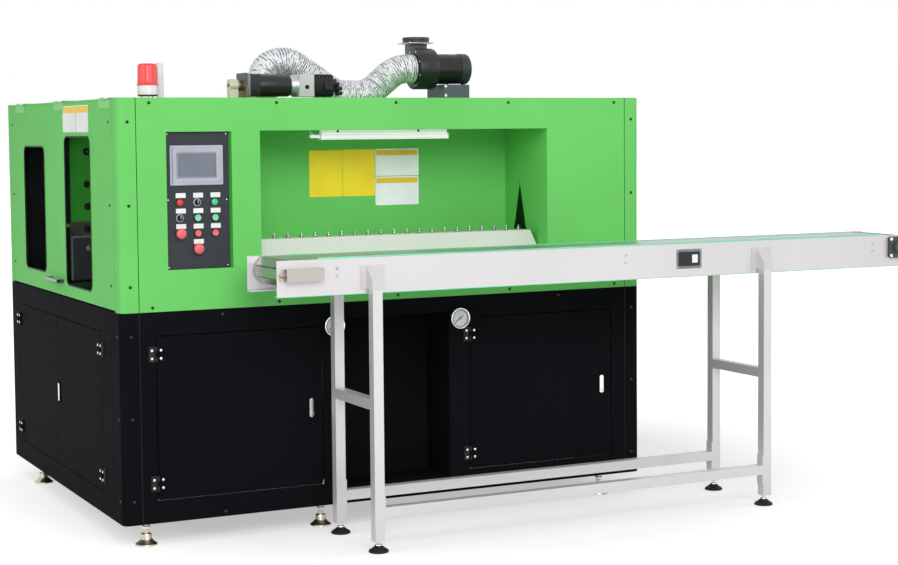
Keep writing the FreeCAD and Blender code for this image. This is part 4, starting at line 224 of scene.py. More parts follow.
def bend(points, steps=8):
    """Smooth line along control points: a uniform quadratic spline in each coordinate, its ends held."""
    points = np.asarray(points, float)
    middles = (points[:-1] + points[1:]) / 2
    t = np.linspace(0, 1, steps, endpoint=False)[:, None]
    runs = [(1 - t) ** 2 * a + 2 * t * (1 - t) * b + t ** 2 * c
            for a, b, c in zip(middles[:-1], points[1:-1], middles[1:])]
    return np.concatenate([points[:1]] + runs + [middles[-1:], points[-1:]])


def repeated(shell, moves):
    """Copies of a shell, one for each row of moves in mm."""
    points, faces = shell
    moves = np.asarray(moves, float) * MM
    many = (points[None] + moves[:, None]).reshape(-1, 3)
    first = np.arange(len(moves))[:, None, None] * len(points)
    return many, (faces[None] + first).reshape(-1, faces.shape[1])


def screws(radius, places, basis=FRONT, sides=10):
    """Domed screw heads: the profile falls from the crown to the rim."""
    profile = radius * np.array([(0.0, 0.55), (0.45, 0.5), (0.8, 0.33), (1.0, 0.12), (1.0, 0.0)])
    return repeated(turned(profile, ORIGIN, basis, sides), places)


def rectangle(middle, half_u, half_v, basis=FRONT):
    """The four corners of a rectangle round its middle, on a plane of the basis."""
    return [middle + u * basis[0] + v * basis[1] for u in (-half_u, half_u) for v in (-half_v, half_v)]


def add_piece(name, parts, body="machine", replaces=(), crease=35.0):
    """One object from (shell, finish) pairs.

    Doubles are merged within each shell, faces turned outward, and shading is smooth up to the crease angle.
    """
    finishes = list(dict.fromkeys(finish for shell, finish in parts))
    counts = np.cumsum([0] + [len(shell[0]) for shell, finish in parts])
    points = np.concatenate([shell[0] for shell, finish in parts])
    quads = np.concatenate([shell[1] + start for (shell, finish), start in zip(parts, counts)])
    indices = np.concatenate([np.full(len(shell[1]), finishes.index(finish)) for shell, finish in parts])
    mesh = bpy.data.meshes.new(name)
    mesh.vertices.add(len(points))
    mesh.vertices.foreach_set("co", points.ravel())
    mesh.loops.add(quads.size)
    mesh.loops.foreach_set("vertex_index", quads.ravel())
    mesh.polygons.add(len(quads))
    mesh.polygons.foreach_set("loop_start", np.arange(len(quads)) * 4)
    mesh.polygons.foreach_set("material_index", indices)
    mesh.update(calc_edges=True)
    work = bmesh.new()
    work.from_mesh(mesh)
    corners = list(work.verts)
    for start, end in zip(counts[:-1], counts[1:]):
        bmesh.ops.remove_doubles(work, verts=corners[start:end], dist=2e-6)
    bmesh.ops.recalc_face_normals(work, faces=work.faces)
    work.to_mesh(mesh)
    work.free()
    for finish in finishes:
        mesh.materials.append(FINISH[finish])
    mesh.polygons.foreach_set("use_smooth", np.ones(len(mesh.polygons), bool))
    mesh.set_sharp_from_angle(angle=math.radians(crease))
    piece = bpy.data.objects.new(name, mesh)
    bpy.context.scene.collection.objects.link(piece)
    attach(piece, body)
    if replaces:
        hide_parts(*replaces)


# ---------------------------------------------------------------- colours and nodes
COORDINATES, MAPPING, NOISE = "ShaderNodeTexCoord", "ShaderNodeMapping", "ShaderNodeTexNoise"
CELLS, RANGE, MIX = "ShaderNodeTexVoronoi", "ShaderNodeMapRange", "ShaderNodeMix"
BUMP, SPLIT, MATHS = "ShaderNodeBump", "ShaderNodeSeparateXYZ", "ShaderNodeMath"
MIDDLE = {"From Min": 0.3, "From Max": 0.7}  # where most of a noise's values lie


def tone(colour):
    """sRGB triple of a colour, which is a triple already or a six-figure code."""
    return tuple(int(colour[i:i + 2], 16) / 255 for i in (0, 2, 4)) if isinstance(colour, str) else colour


def linear(colour, alpha=1.0):
    """Linear RGBA of an sRGB colour."""
    return tuple(c / 12.92 if c <= 0.04045 else ((c + 0.055) / 1.055) ** 2.4 for c in tone(colour)) + (alpha,)


def shades(colour, *factors):
    """The colour made darker or lighter by each factor."""
    return [tuple(min(1.0, c * factor) for c in tone(colour)) for factor in factors]


def per_metre(grain):
    """Pattern scale of a grain in mm: one over its size in metres, as Object coordinates are metres."""
    return 1.0 / (grain * MM)


def add_node(tree, kind, inputs, output=None, **settings):
    """One node with its settings and, by socket, its inputs: values or other nodes' outputs.

    Gives the named output, or else the node.
    """
    made = tree.nodes.new(kind)
    for key, value in settings.items():
        setattr(made, key, value)
    for socket, value in inputs.items():
        if isinstance(value, bpy.types.NodeSocket):
            tree.links.new(value, made.inputs[socket])
        else:
            made.inputs[socket].default_value = value
    return made if output is None else made.outputs[output]


def emptied(owner):
    """A call that adds a node to the owner's tree, which is emptied first."""
    owner.use_nodes = True
    owner.node_tree.nodes.clear()
    return partial(add_node, owner.node_tree)


def new_material(name, **constants):
    """An empty material with one Principled shader; constants go on the shader's own sockets.

    Gives the material, a call that adds a node to it, the shader and the Object coordinates.
    """
    material = bpy.data.materials.new(name)
    node = emptied(material)
    sockets = {key.replace("_", " "): value for key, value in constants.items()}
    shader = node("ShaderNodeBsdfPrincipled", sockets)
    node("ShaderNodeOutputMaterial", {"Surface": shader.outputs["BSDF"]})
    return material, node, shader, node(COORDINATES, {}, "Object")


def wire(material, shader, **links):
    """The material, once the given outputs drive the shader's sockets."""
    for socket, value in links.items():
        material.node_tree.links.new(value, shader.inputs[socket.replace("_", " ")])
    return material


def two_tone(name, tones, spots, rough, wear, bump, relief=None, spread=0.3, stretch=None, below=None,
             **constants):
    """Material whose soft spots mix two tones, and whose wear sets its roughness.

    Spots, wear and relief are settings of a noise, and without a relief the wear gives the bump too. The
    middle of the spots' values is drawn out by the spread; rough is (least, most), bump (strength, metres).
    Stretch scales the wear by axis, and below is a (colour, height in mm) that covers what lies lower.
    """
    material, node, shader, point = new_material(name, **constants)
    cloud = node(NOISE, {"Vector": point, **spots}, "Fac")
    share = node(RANGE, {"Value": cloud, "From Min": spread, "From Max": 1 - spread}, "Result")
    coat = node(MIX, {"Factor": share, 6: linear(tones[0]), 7: linear(tones[1])}, 2, data_type="RGBA")
    if below:
        height = node(SPLIT, {"Vector": point}, "Z")
        seam = below[1] * MM
        above = node(RANGE, {"Value": height, "From Min": seam, "From Max": seam + 0.0001}, "Result")
        coat = node(MIX, {"Factor": above, 6: linear(below[0]), 7: coat}, 2, data_type="RGBA")
    drawn = node(MAPPING, {"Vector": point, "Scale": stretch}, "Vector") if stretch else point
    worn = node(NOISE, {"Vector": drawn, **wear}, "Fac")
    roughness = node(RANGE, {"Value": worn, **MIDDLE, "To Min": rough[0], "To Max": rough[1]}, "Result")
    rise = node(NOISE, {"Vector": point, **relief}, "Fac") if relief else worn
    skin = node(BUMP, {"Height": rise, "Strength": bump[0], "Distance": bump[1]}, "Normal")
    return wire(material, shader, Base_Color=coat, Roughness=roughness, Normal=skin)


# ---------------------------------------------------------------- finishes
def powder_coat(name, colour, roughness=0.4, gloss=0.5, below=None):
    """Powder-coated sheet, which looks even and softly lit.

    The tone drifts in clouds of 450 mm, handled spots of 70 mm are a little duller, and the orange peel has
    waves of 1.5 mm.
    """
    clouds = {"Scale": per_metre(450.0), "Detail": 3.0}
    handled = {"Scale": per_metre(70.0), "Detail": 4.0, "Roughness": 0.6}
    peel = {"Scale": per_metre(1.5), "Detail": 1.0}
    return two_tone(name, shades(colour, 0.975, 1.02), clouds, (roughness - 0.02, roughness + 0.03), handled,
                    (0.12, 0.0004), peel, below=below, Specular_IOR_Level=gloss)


def brushed_metal(name, colour, along="x", roughness=0.36, grain=0.08, metal=0.3):
    """Brushed sheet, whose light is drawn out across its scratches.

    Real scratches are about 0.2 mm apart; they are drawn 1.4 mm apart and 250 mm long so that they show.
    Smudges of 330 mm dull the tone.
    """
    smudges = {"Scale": per_metre(330.0)}
    stretch = [per_metre(250.0) if axis == along else per_metre(1.4) for axis in "xyz"]
    return two_tone(name, shades(colour, 0.985, 1.01), smudges, (roughness - 0.04, roughness + 0.05),
                    {"Scale": 1.0}, (grain, 0.0002), stretch=stretch, Metallic=metal)


def plated_metal(name, colour, second, roughness=0.28, blotch=25.0, metal=1.0):
    """Plated, turned or passivated metal: two tones in soft blotches of the given mm, and pits of 2.4 mm."""
    blotches = {"Scale": per_metre(blotch), "Detail": 3.0, "Roughness": 0.6}
    return two_tone(name, (colour, second), blotches, (roughness - 0.05, roughness + 0.12),
                    {"Scale": per_metre(2.4)}, (0.15, 0.0003), spread=0.35, Metallic=metal)


def moulded_plastic(name, colour, roughness=0.42, grain=0.1, gloss=0.5, glow=0.0):
    """Moulded plastic or printed film, with a spark-eroded grain and a tone that drifts over 110 mm.

    The real grain is about 0.1 mm; it is drawn at 0.9 mm so that it shows. A lit part glows, and the glow of
    a blank film is painted light.
    """
    drift, grains = {"Scale": per_metre(110.0)}, {"Scale": per_metre(0.9), "Detail": 1.0}
    return two_tone(name, shades(colour, 0.96, 1.03), drift, (roughness - 0.05, roughness + 0.07), grains,
                    (grain, 0.0002), Specular_IOR_Level=gloss, Emission_Color=linear(colour),
                    Emission_Strength=glow)


def zoned_metal(name, axis, split, low, high):
    """Two finishes of one solid, parted at a place in metres along an axis.

    Each finish is (colour, metallic, roughness). A cast grain of 2.4 mm keeps both from looking like glass.
    """
    material, node, shader, point = new_material(name)
    along = node(SPLIT, {"Vector": point}, axis)
    zone = node(RANGE, {"Value": along, "From Min": split, "From Max": split + 0.0001}, "Result")
    grain = node(NOISE, {"Vector": point, "Scale": per_metre(2.4)}, "Fac")
    tones = node(MIX, {"Factor": zone, 6: linear(low[0]), 7: linear(high[0])}, 2, data_type="RGBA")
    metal = node(RANGE, {"Value": zone, "To Min": low[1], "To Max": high[1]}, "Result")
    rough = node(RANGE, {"Value": zone, "To Min": low[2], "To Max": high[2]}, "Result")
    drift = node(RANGE, {"Value": grain, **MIDDLE, "To Min": -0.03, "To Max": 0.05}, "Result")
    worn = node(MATHS, {0: rough, 1: drift}, 0, operation="ADD")
    skin = node(BUMP, {"Height": grain, "Strength": 0.12, "Distance": 0.0003}, "Normal")
    return wire(material, shader, Base_Color=tones, Metallic=metal, Roughness=worn, Normal=skin)


def crinkled_foil(name, colour, second, metal=0.35):
    """Thin rolled foil, which sparkles in small facets: cells of 6.5 mm and 2.4 mm over patches of 11 mm."""
    material, node, shader, point = new_material(name, Metallic=metal)
    large = node(CELLS, {"Vector": point, "Scale": per_metre(6.5)}, "Distance")
    small = node(CELLS, {"Vector": point, "Scale": per_metre(2.4)}, "Distance")
    creases = node(MATHS, {0: large, 1: small}, 0, operation="ADD")
    patches = node(NOISE, {"Vector": point, "Scale": per_metre(11.0), "Detail": 3.0, "Roughness": 0.6}, "Fac")
    patches = node(RANGE, {"Value": patches, "From Min": 0.45, "From Max": 0.7}, "Result")
    tones = node(MIX, {"Factor": patches, 6: linear(colour), 7: linear(second)}, 2, data_type="RGBA")
    duller = {"From Min": 0.3, "From Max": 1.2, "To Min": 0.16, "To Max": 0.36}
    rough = node(RANGE, {"Value": creases, **duller}, "Result")
    skin = node(BUMP, {"Height": creases, "Strength": 0.6, "Distance": 0.0016}, "Normal")
    return wire(material, shader, Base_Color=tones, Roughness=rough, Normal=skin)


def clear_pane(name, colour):
    """Clear guard pane, which barely tints what is behind it; wipe marks are 30 mm high and 170 mm long."""
    material, node, shader, point = new_material(name, Transmission_Weight=1.0, IOR=1.004)
    stretched = node(MAPPING, {"Vector": point, "Scale": (1.0, 6.0, per_metre(30.0))}, "Vector")
    wipes = node(NOISE, {"Vector": stretched, "Scale": 1.0, "Detail": 3.0}, "Fac")
    wipes = node(RANGE, {"Value": wipes, **MIDDLE}, "Result")
    clean, wiped = shades(colour, 1.0, 0.97)
    tint = node(MIX, {"Factor": wipes, 6: linear(clean), 7: linear(wiped)}, 2, data_type="RGBA")
    rough = node(RANGE, {"Value": wipes, "To Min": 0.02, "To Max": 0.05}, "Result")
    return wire(material, shader, Base_Color=tint, Roughness=rough)


def finish_table(colours):
    """Settings of every finish by its maker and its name in this script, the material's name first."""
    green, black, steel = tuple(colours.cabinet), tuple(colours.base), tuple(colours.steel)
    return {
        # powder coat on folded sheet: an even colour with a soft sheen and faint orange peel
        # enamel on castings and motors: darker, with a wider shine along the barrels
        powder_coat: {
            "green_coat": ("green_powder_coat", green, 0.45, 0.03),
            # a darker green: the cabinet's green with painted shade, on the inner partition and the panel
            # opening's fold
            "shaded_green": ("inner_green_coat", "3fa53a", 0.5, 0.05),
            "frame_coat": ("frame_two_colour_coat", shades(green, 0.55)[0], 0.45, 0.05, (black, SEAM)),
            "black_coat": ("black_powder_coat", black, 0.5, 0.004),
            "panel_coat": ("panel_grey_coat", "3b3e44", 0.45, 0.15),
            "service_grey": ("service_box_coat", "3a3a40", 0.45, 0.2),
            "pedestal_coat": ("pedestal_coat", "5a5d69", 0.42, 0.4),
            "charcoal_coat": ("charcoal_enamel", "1d1e21", 0.34, 0.45),
            "motor_black": ("black_motor_enamel", "131416", 0.3, 0.45),
            "cap_coat": ("cap_charcoal_enamel", "303236", 0.42, 0.4),
        },
        # brushed stainless: pale and satin, with its light drawn out across the scratches
        brushed_metal: {
            "stainless": ("conveyor_stainless", steel, "x"),
            "upright_stainless": ("leg_stainless", steel, "z"),
            "bracket_stainless": ("bracket_stainless", "d2cfd0", "z", 0.4, 0.08, 0.2),
            "rail_steel": ("rail_stainless", "f0e9ec", "x", 0.36, 0.1, 0.0),
            "slat_steel": ("slat_stainless", "b4b4b3", "y", 0.3, 0.15, 0.7),
            "bright_steel": ("bright_shaft_steel", "c9c9ca", "y", 0.22, 0.2, 1.0),
        },
        # solids that carry two finishes, parted where the real pieces meet
        zoned_metal: {
            "bearing_mix": ("cover_stainless_and_cast_iron", 0, stand((700.0, 0, 0))[0],
                            ("bcb7b1", 0.2, 0.36), ("39433f", 0.0, 0.5)),
            "hinge_mix": ("black_and_chrome_hinges", 2, SEAM * MM, ("08080a", 0.0, 0.7),
                          ("dcdcdc", 1.0, 0.16)),
            "fitting_mix": ("dark_chrome_and_green_coat", 2, (SEAM + 300.0) * MM, ("6e7074", 1.0, 0.18),
                            (green, 0.0, 0.45)),
            # below the drive's axis the bracket is olive: the zinc plate's yellow tint, darkened with painted
            # shade under the bush; above it is grey
            "bracket_mix": ("olive_zinc_and_grey_bracket", 2, DRIVE_Z * MM, ("6f6440", 0.6, 0.4),
                            ("4a4d52", 0.1, 0.45)),
        },
        # machined, turned and plated metal: hard highlights, a little broken by pits and blotches
        # the grooves of the duct's foil are greyer and duller, the grey being painted shade between the ribs
        plated_metal: {
            "machined_steel": ("machined_steel", "b4b4b4", "9c9c9e", 0.3),
            "screw_steel": ("bright_screw_steel", "e2e2e2", "cfcfd0", 0.2, 11.0),
            "spindle_steel": ("turned_spindle_steel", "d6d6d6", "8f8f92", 0.28, 6.0),
            "chrome": ("chrome_plate", "e6e6e6", "d8d8da", 0.1, 160.0),
            "zinc_yellow": ("pale_yellow_zinc_plate", "dcd5c4", "d0c7b2", 0.34, 60.0, 0.3),
            "brass": ("turned_brass", "dcc690", "c6aa6c", 0.26),
            "nickel": ("pale_nickel_plate", "dcd4c0", "c2b9a4", 0.26),
            "cast_aluminium": ("cast_aluminium", "c9cbce", "b4b6ba", 0.36, 25.0, 0.8),
            "flange_grey": ("grey_flange_casting", "7f888c", "69727a", 0.42, 16.0, 0.6),
            "plate_brown": ("oiled_steel_plate", "6a645a", "585248", 0.4, 25.0, 0.4),
            "foil_groove": ("creased_foil_groove", "9b9da2", "707378", 0.4, 8.0, 0.5),
        },
        # rolled foil: bright facets over the ribs
        crinkled_foil: {"foil": ("crinkled_aluminium_foil", "eceef0", "bfc2c6")},
        # moulded ABS and polyamide: soft highlights over a fine grain; rubber is matt and nearly black
        # lit plastic is a little brighter than its colour; the blank films glow a little too, which is
        # painted light, and bare printed film is a flat field of colour
        moulded_plastic: {
            "white_plastic": ("white_abs", "ececea", 0.35),
            "grey_plastic": ("terminal_grey_abs", "b3b8c4", 0.45),
            "grey_dark": ("terminal_step_grey_abs", "858a96", 0.45),
            "block_grey": ("light_grey_block", "d8d4da", 0.5, 0.1, 0.2),
            "black_plastic": ("black_polyamide", "141517", 0.4, 0.1, 0.4),
            "red_plastic": ("red_lamp_lens", "e8262f", 0.3),
            "coral_plastic": ("coral_button_abs", "f0686a", 0.34),
            "green_lens": ("green_lamp_lens", "3ccf8e", 0.2),
            "mint_plastic": ("mint_polyethylene", "82dfb4", 0.4),
            "screen": ("terminal_screen_glass", "767d89", 0.16, 0.02),
            "lamp_white": ("opal_lamp_diffuser", "f4f5f2", 0.4, 0.03, 0.5, 0.28),
            "lens_red": ("beacon_red_polycarbonate", "ee3f3a", 0.16, 0.04, 0.5, 0.08),
            "rubber": ("black_rubber", "141414", 0.6, 0.2, 0.3),
            "label_white": ("blank_white_film", "f6f8f8", 0.5, 0.03),
            # the blank films glow a little: painted light on them
            "sheet_white": ("blank_sheet_film", "f4f8fc", 0.5, 0.03, 0.5, 0.1),
            "label_yellow": ("blank_yellow_film", "ffdf1e", 0.5, 0.03, 0.5, 0.12),
            "label_amber": ("blank_amber_film", "f8ca30", 0.5, 0.03, 0.5, 0.06),
            "dial_ink": ("dial_ink", "26282b", 0.6, 0.02, 0.3),
        },
        # clear polycarbonate: see-through, with hardly a tint
        clear_pane: {"pane": ("clear_polycarbonate_pane", "eef4f0")},
    }


NODE_FINISH = {
    "frame_coat": ["machine_frame"],
    "green_coat": ["upper_corner_posts", "upper_front_panel", "recess_liner", "roof_and_back_sheets",
                   "gull_door_left", "gull_door_right"],
    "black_coat": ["lower_corner_posts", "lower_front_panel", "lower_panels", "front_door_left",
                   "front_door_right", "side_door_front", "side_door_rear"],
    "panel_coat": ["control_panel"],
    "chrome": ["front_lock_left", "front_lock_right", "side_lock"],
    "hinge_mix": ["hinge_leaves"],
    "fitting_mix": ["gull_left_fittings"],
    "lamp_white": ["recess_lamp"],
    "rail_steel": ["spindle_rail"],
    "machined_steel": ["spindle_chain", "blower_impeller", "clamp_frame", "moving_platen",
                       "stretch_carriage"],
    "zinc_yellow": ["drive_lever"],
    "bracket_mix": ["roof_brackets"],
    "charcoal_coat": ["cabinet_equipment"],
    "cast_aluminium": ["heating_oven"],
    "stainless": ["conveyor_frame"],
    "bracket_stainless": ["leg_brackets"],
    "slat_steel": ["slat_belt"],
    "mint_plastic": ["wear_strips"],
    "upright_stainless": ["conveyor_stand"],
    "bearing_mix": ["shaft_bearings"],
    "bright_steel": ["head_shaft", "tail_shaft"],
    "pane": ["gull_left_glazing"],
}


# ---------------------------------------------------------------- sizes and colours a user would change
class MachineColours(bpy.types.PropertyGroup):
    """Main colours of the machine"""
    cabinet: FloatVectorProperty(name="Upper cabinet", description="Powder coat of the upper cabinet",
                                 subtype="COLOR_GAMMA", size=3, min=0, max=1, default=tone("74d56e"))
    base: FloatVectorProperty(name="Lower cabinet", description="Powder coat of the lower cabinet",
                              subtype="COLOR_GAMMA", size=3, min=0, max=1, default=tone("151619"))
    steel: FloatVectorProperty(name="Conveyor steel", description="Brushed stainless of the conveyor",
                               subtype="COLOR_GAMMA", size=3, min=0, max=1, default=tone("dad7d9"))


class MachineSizes(bpy.types.PropertyGroup):
    """Sizes of the dressed pieces"""
    screw_radius: FloatProperty(name="Sheet screw radius", description="Head radius of the sheets' screws",
                                subtype="DISTANCE", unit="LENGTH", min=0.003, max=0.009, default=0.0062)
    foil_pitch: FloatProperty(name="Foil rib pitch", description="Length of one rib along the air duct",
                              subtype="DISTANCE", unit="LENGTH", min=0.006, max=0.02, default=0.0095)
    foil_depth: FloatProperty(name="Foil rib depth", description="Height of the duct's ribs over their root",
                              subtype="DISTANCE", unit="LENGTH", min=0.001, max=0.006, default=0.0042)
    dial_marks: IntProperty(name="Dial marks", description="Number of marks on a pressure dial",
                            min=11, max=61, default=31)


class MACHINE_OT_finishes(bpy.types.Operator):
    """Real finishes on every solid that keeps its own shape"""
    bl_idname = "machine.finishes"
    bl_label = "Sheet and metal finishes"

    def execute(self, context):
        for maker, rows in finish_table(context.scene.machine_colours).items():
            FINISH.update({key: maker(*settings) for key, settings in rows.items()})
        for finish, nodes in NODE_FINISH.items():
            for node in nodes:
                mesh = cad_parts[node].data
                mesh.materials.clear()
                mesh.materials.append(FINISH[finish])
        return {"FINISHED"}


# ---------------------------------------------------------------- cabinet
class MACHINE_OT_sheet_screws(bpy.types.Operator):
    """Black domed screws of the upper and lower sheets and the dark joints between the sheets"""
    bl_idname = "machine.sheet_screws"
    bl_label = "Sheet screws and joints"

    def execute(self, context):
        radius = context.scene.machine_sizes.screw_radius / MM
        edge, row_end = FRONT_SCREW_INSETS
        front = [(x, 0.0, z) for x in (edge, WIDTH - edge) for z in SHEET_SCREW_HEIGHTS]
        along, rows = np.linspace(row_end, WIDTH - row_end, 5), (ROOF - 19.0, SEAM + 15.5)
        front += [(x, 0.0, z) for x in along for z in rows]
        front += [(x, 0.0, z) for x in (DOOR_SCREWS_X, WIDTH - DOOR_SCREWS_X) for z in DOOR_SCREW_HEIGHTS]
        gull_heights, side_heights = SHEET_SCREW_HEIGHTS[:3], SHEET_SCREW_HEIGHTS[3:]
        side = [(0.0, y, z) for y in (SIDE_SCREW_INSET, DEPTH - SIDE_SCREW_INSET) for z in side_heights]
        gull = [(0.0, y, z) for y in (GULL_SCREW_Y, DEPTH - GULL_SCREW_Y) for z in gull_heights]
        far = WIDTH * X
        sheets = ((front, FRONT), (front + DEPTH * Y, BACK), (side, LEFT), (side + far, RIGHT))
        heads = [(screws(radius, places, basis), "black_plastic") for places, basis in sheets]
        add_piece("sheet_screws", heads)
        for body, places, basis in (("gull_left", gull, LEFT), ("gull_right", gull + far, RIGHT)):
            head = (screws(radius, places, basis), "black_plastic")
            add_piece(body + "_screws", [head], body)
        upright = bar(ORIGIN, (SHEET_JOINT - 0.3, ROOF - BODY_BOTTOM - 4.0, 1.0), FRONT, 0.3, 0.2)
        joint_x = CORNER_LEG + SHEET_JOINT / 2
        middle_z = (ROOF + BODY_BOTTOM) / 2
        joints = repeated(upright, [(x, y, middle_z) for x in (joint_x, WIDTH - joint_x)
                                    for y in (1.6, DEPTH - 0.6)])
        sill = bar(ORIGIN, (DOOR_WIDTH - 8.0, 2.2, 1.9), FRONT, 0.6, 0.2)
        sills = repeated(sill, [(x, 2.4, DOOR_FOOT - 1.5) for x in DOOR_MIDDLES])
        add_piece("sheet_joints", [(joints, "rubber"), (sills, "rubber")])
        return {"FINISHED"}


class MACHINE_OT_windows(bpy.types.Operator):
    """Rubber seals round the left door's windows, its two blank plates, and both doors' top folds"""
    bl_idname = "machine.windows"
    bl_label = "Window seals and door plates"

    def execute(self, context):
        lip = [(3.4, 0.1), (3.4, 1.2), (2.4, 2.0), (-1.0, 2.0), (-2.4, 1.0), (-2.4, -1.2), (-0.2, -1.2),
               (-0.2, 0.1)]
        rings = [(trim((0.0, (low + high) / 2, (bottom + top) / 2), (high - low) / 2, (top - bottom) / 2,
                       WINDOW_CORNER, lip, LEFT), "rubber") for low, high, bottom, top in WINDOWS]
        add_piece("window_seals_left", rings, "gull_left")
        for side, x, basis in (("left", 1.4, LEFT), ("right", WIDTH - 1.4, RIGHT)):
            fold = bar((x, DEPTH / 2, ROOF - 4.4), (GULL_LENGTH, 6.0, 1.2), basis, 0.4, 0.2)
            add_piece("gull_top_fold_" + side, [(fold, "green_coat")], "gull_" + side)
        plates = []
        for low, high in GULL_PLATES:
            field = bar((0.0, (low + high) / 2, GULL_PLATE_HEIGHT), (high - low, 103.0, 1.2), LEFT, 5.0, 0.3)
            header_at = (-1.0, (low + high) / 2, GULL_PLATE_HEIGHT + 35.5)
            header = bar(header_at, (high - low - 8.0, 25.0, 0.6), LEFT, 2.0, 0.2)
            # the amber header glows a little in its finish: painted light
            plates += [(field, "label_white"), (header, "label_amber")]
        add_piece("gull_left_plates", plates, "gull_left")
        return {"FINISHED"}


class MACHINE_OT_interior(bpy.types.Operator):
    """Green partition, steel plate and service box behind the near window; guard behind the far one"""
    bl_idname = "machine.interior"
    bl_label = "Interior behind the window"

    def execute(self, context):
        face = SERVICE_WALL_Y
        hole = [(0, 1.2), (13.0, 1.2), (15.0, 0.4), (15.0, 0.0)]
        union = [(0, 22.0), (7.0, 22.0), (8.0, 20.0), (8.0, 12.0), (12.0, 11.0), (12.0, 0.0)]
        # partition, edge strip, plate, service box, the box's frame and rear guard: place, size, rounding;
        # the partition's darker green and the black edge strip are painted shade
        walls = (((180.0, face + 3.0, 1372.0), (312.0, 424.0, 3.0), 2.0, 0.4, "shaded_green"),
                 ((17.0, face + 3.0, 1372.0), (20.0, 424.0, 9.0), 1.0, 0.4, "black_plastic"),
                 ((180.0, face + 3.0, 1136.0), (312.0, 62.0, 6.0), 1.5, 0.5, "plate_brown"),
                 ((180.0, face + 3.0, 1020.0), (312.0, 172.0, 26.0), 3.0, 1.0, "service_grey"),
                 ((180.0, face - 8.0, 1107.0), (312.0, 6.0, 16.0), 1.0, 0.3, "cast_aluminium"),
                 ((26.0, face - 8.0, 1020.0), (5.0, 172.0, 16.0), 1.0, 0.3, "cast_aluminium"),
                 ((174.0, REAR_GUARD_Y, 1250.0), (324.0, 700.0, 3.0), 2.0, 0.4, "black_coat"))
        parts = [(bar(spot, size, FRONT, corner, ease), finish) for spot, size, corner, ease, finish in walls]
        holes = [(98.0, face, 1447.0), (98.0, face, 1317.0), (98.0, face, 1227.0), (94.0, face - 3.0, 1137.0)]
        stud = [(0, 9.0), (5.0, 8.0), (6.0, 0.0)]
        parts += [(repeated(turned(hole), holes), "rubber"),
                  (turned(union, (94.0, face - 23.0, 1061.0), FRONT, 20), "brass"),
                  (turned(stud, (98.0, face - 1.0, 1447.0), FRONT, 16), "screw_steel")]
        add_piece("service_wall", parts)
        return {"FINISHED"}


class MACHINE_OT_recess(bpy.types.Operator):
    """Blank colour sheets on the recess wall, lamp ends and lead"""
    bl_idname = "machine.recess"
    bl_label = "Recess sheets and lamp"

    def execute(self, context):
        plates = []
        # these sheets and their amber headers glow a little in their finishes: painted light
        for finish, sheets in (("label_yellow", YELLOW_SHEETS), ("sheet_white", WHITE_SHEETS)):
            for low, high, bottom, top in sheets:
                middle = ((low + high) / 2, RECESS_WALL, (bottom + top) / 2)
                plates.append((bar(middle, (high - low, top - bottom, 1.2), FRONT, 5.0, 0.3), finish))
        for low, high, _, top in WHITE_SHEETS:
            header = ((low + high) / 2, RECESS_WALL - 1.0, top - 16.0)
            plates.append((bar(header, (high - low - 8.0, 22.0, 0.6), FRONT, 2.0, 0.2), "label_amber"))
        add_piece("recess_colour_sheets", plates)
        left, right = LAMP_ENDS
        path = bend([(x, LAMP_Y, z) for x, z in LAMP_LEAD])
        tube_at = ((left + right) / 2, LAMP_Y, LAMP_Z + 11.6)
        tube = bar(tube_at, (right - left - 4.0, 25.0, 12.8), TOP, 2.0, 0.6)
        lamp = [(bar((left, LAMP_Y, LAMP_Z), (31.0, 25.0, 5.0), LEFT, 4.0, 0.8), "white_plastic"),
                (bar((right, LAMP_Y, LAMP_Z), (31.0, 25.0, 5.0), RIGHT, 4.0, 0.8), "white_plastic"),
                (lead(path, 3.2), "white_plastic"), (tube, "lamp_white")]
        clips = [(bar((x, LAMP_Y, LAMP_Z + 16.0), (9.0, 29.0, 8.6), TOP, 1.5, 0.4), "black_plastic")
                 for x in (left + 68.0, right - 128.0)]
        add_piece("recess_lamp_ends", lamp + clips)
        return {"FINISHED"}


class MACHINE_OT_spindles(bpy.types.Operator):
    """Turned spindles on their carriers along the front run of the chain"""
    bl_idname = "machine.spindles"
    bl_label = "Preform spindles"

    def execute(self, context):
        cone = [(0, 42), (2.6, 41.6), (3.6, 40.0), (3.8, 34.0), (6.6, 31.0), (7.4, 28.0), (7.4, 24.6)]
        seat = [(9.6, 24.4), (9.8, 20.0), (8.4, 18.4), (8.4, 14.0), (11.2, 12.6), (12.0, 11.0), (12.0, 3.0),
                (9.0, 0.5)]
        low, high = cabinet_box("spindles")
        last, y, foot = high[0] - CARRIER[0] / 2, (low[1] + high[1]) / 2, low[2] + CARRIER[2]
        count = round((high[0] - low[0] - CARRIER[0]) / SPINDLE_PITCH) + 1
        places = [(last - SPINDLE_PITCH * i, y, foot) for i in range(count)]
        carrier = bar((0, 0, -CARRIER[2]), CARRIER, TOP, 3.0, 0.8, 2)
        add_piece("spindle_row", [(repeated(turned(cone, ORIGIN, TOP, 12), places), "spindle_steel"),
                                  (repeated(turned(seat, ORIGIN, TOP, 12), places), "black_plastic"),
                                  (repeated(carrier, places), "black_plastic")],
                  replaces=["spindles"])
        return {"FINISHED"}


# ---------------------------------------------------------------- control panel
def operator_rows():
    """Every operator of the panel as (name, x, z); the fourth row has one in the middle."""
    names = (("power_lamp", "mode", "run_lamp"), ("feed", "start_a", "start_b"),
             ("stop_a", "reset_a", "reset_b"), (None, "stop_b", None))
    return [(name, BUTTON_COLUMNS[column], BUTTON_TOP_ROW - BUTTON_ROW_PITCH * row)
            for row, triple in enumerate(names) for column, name in enumerate(triple) if name]


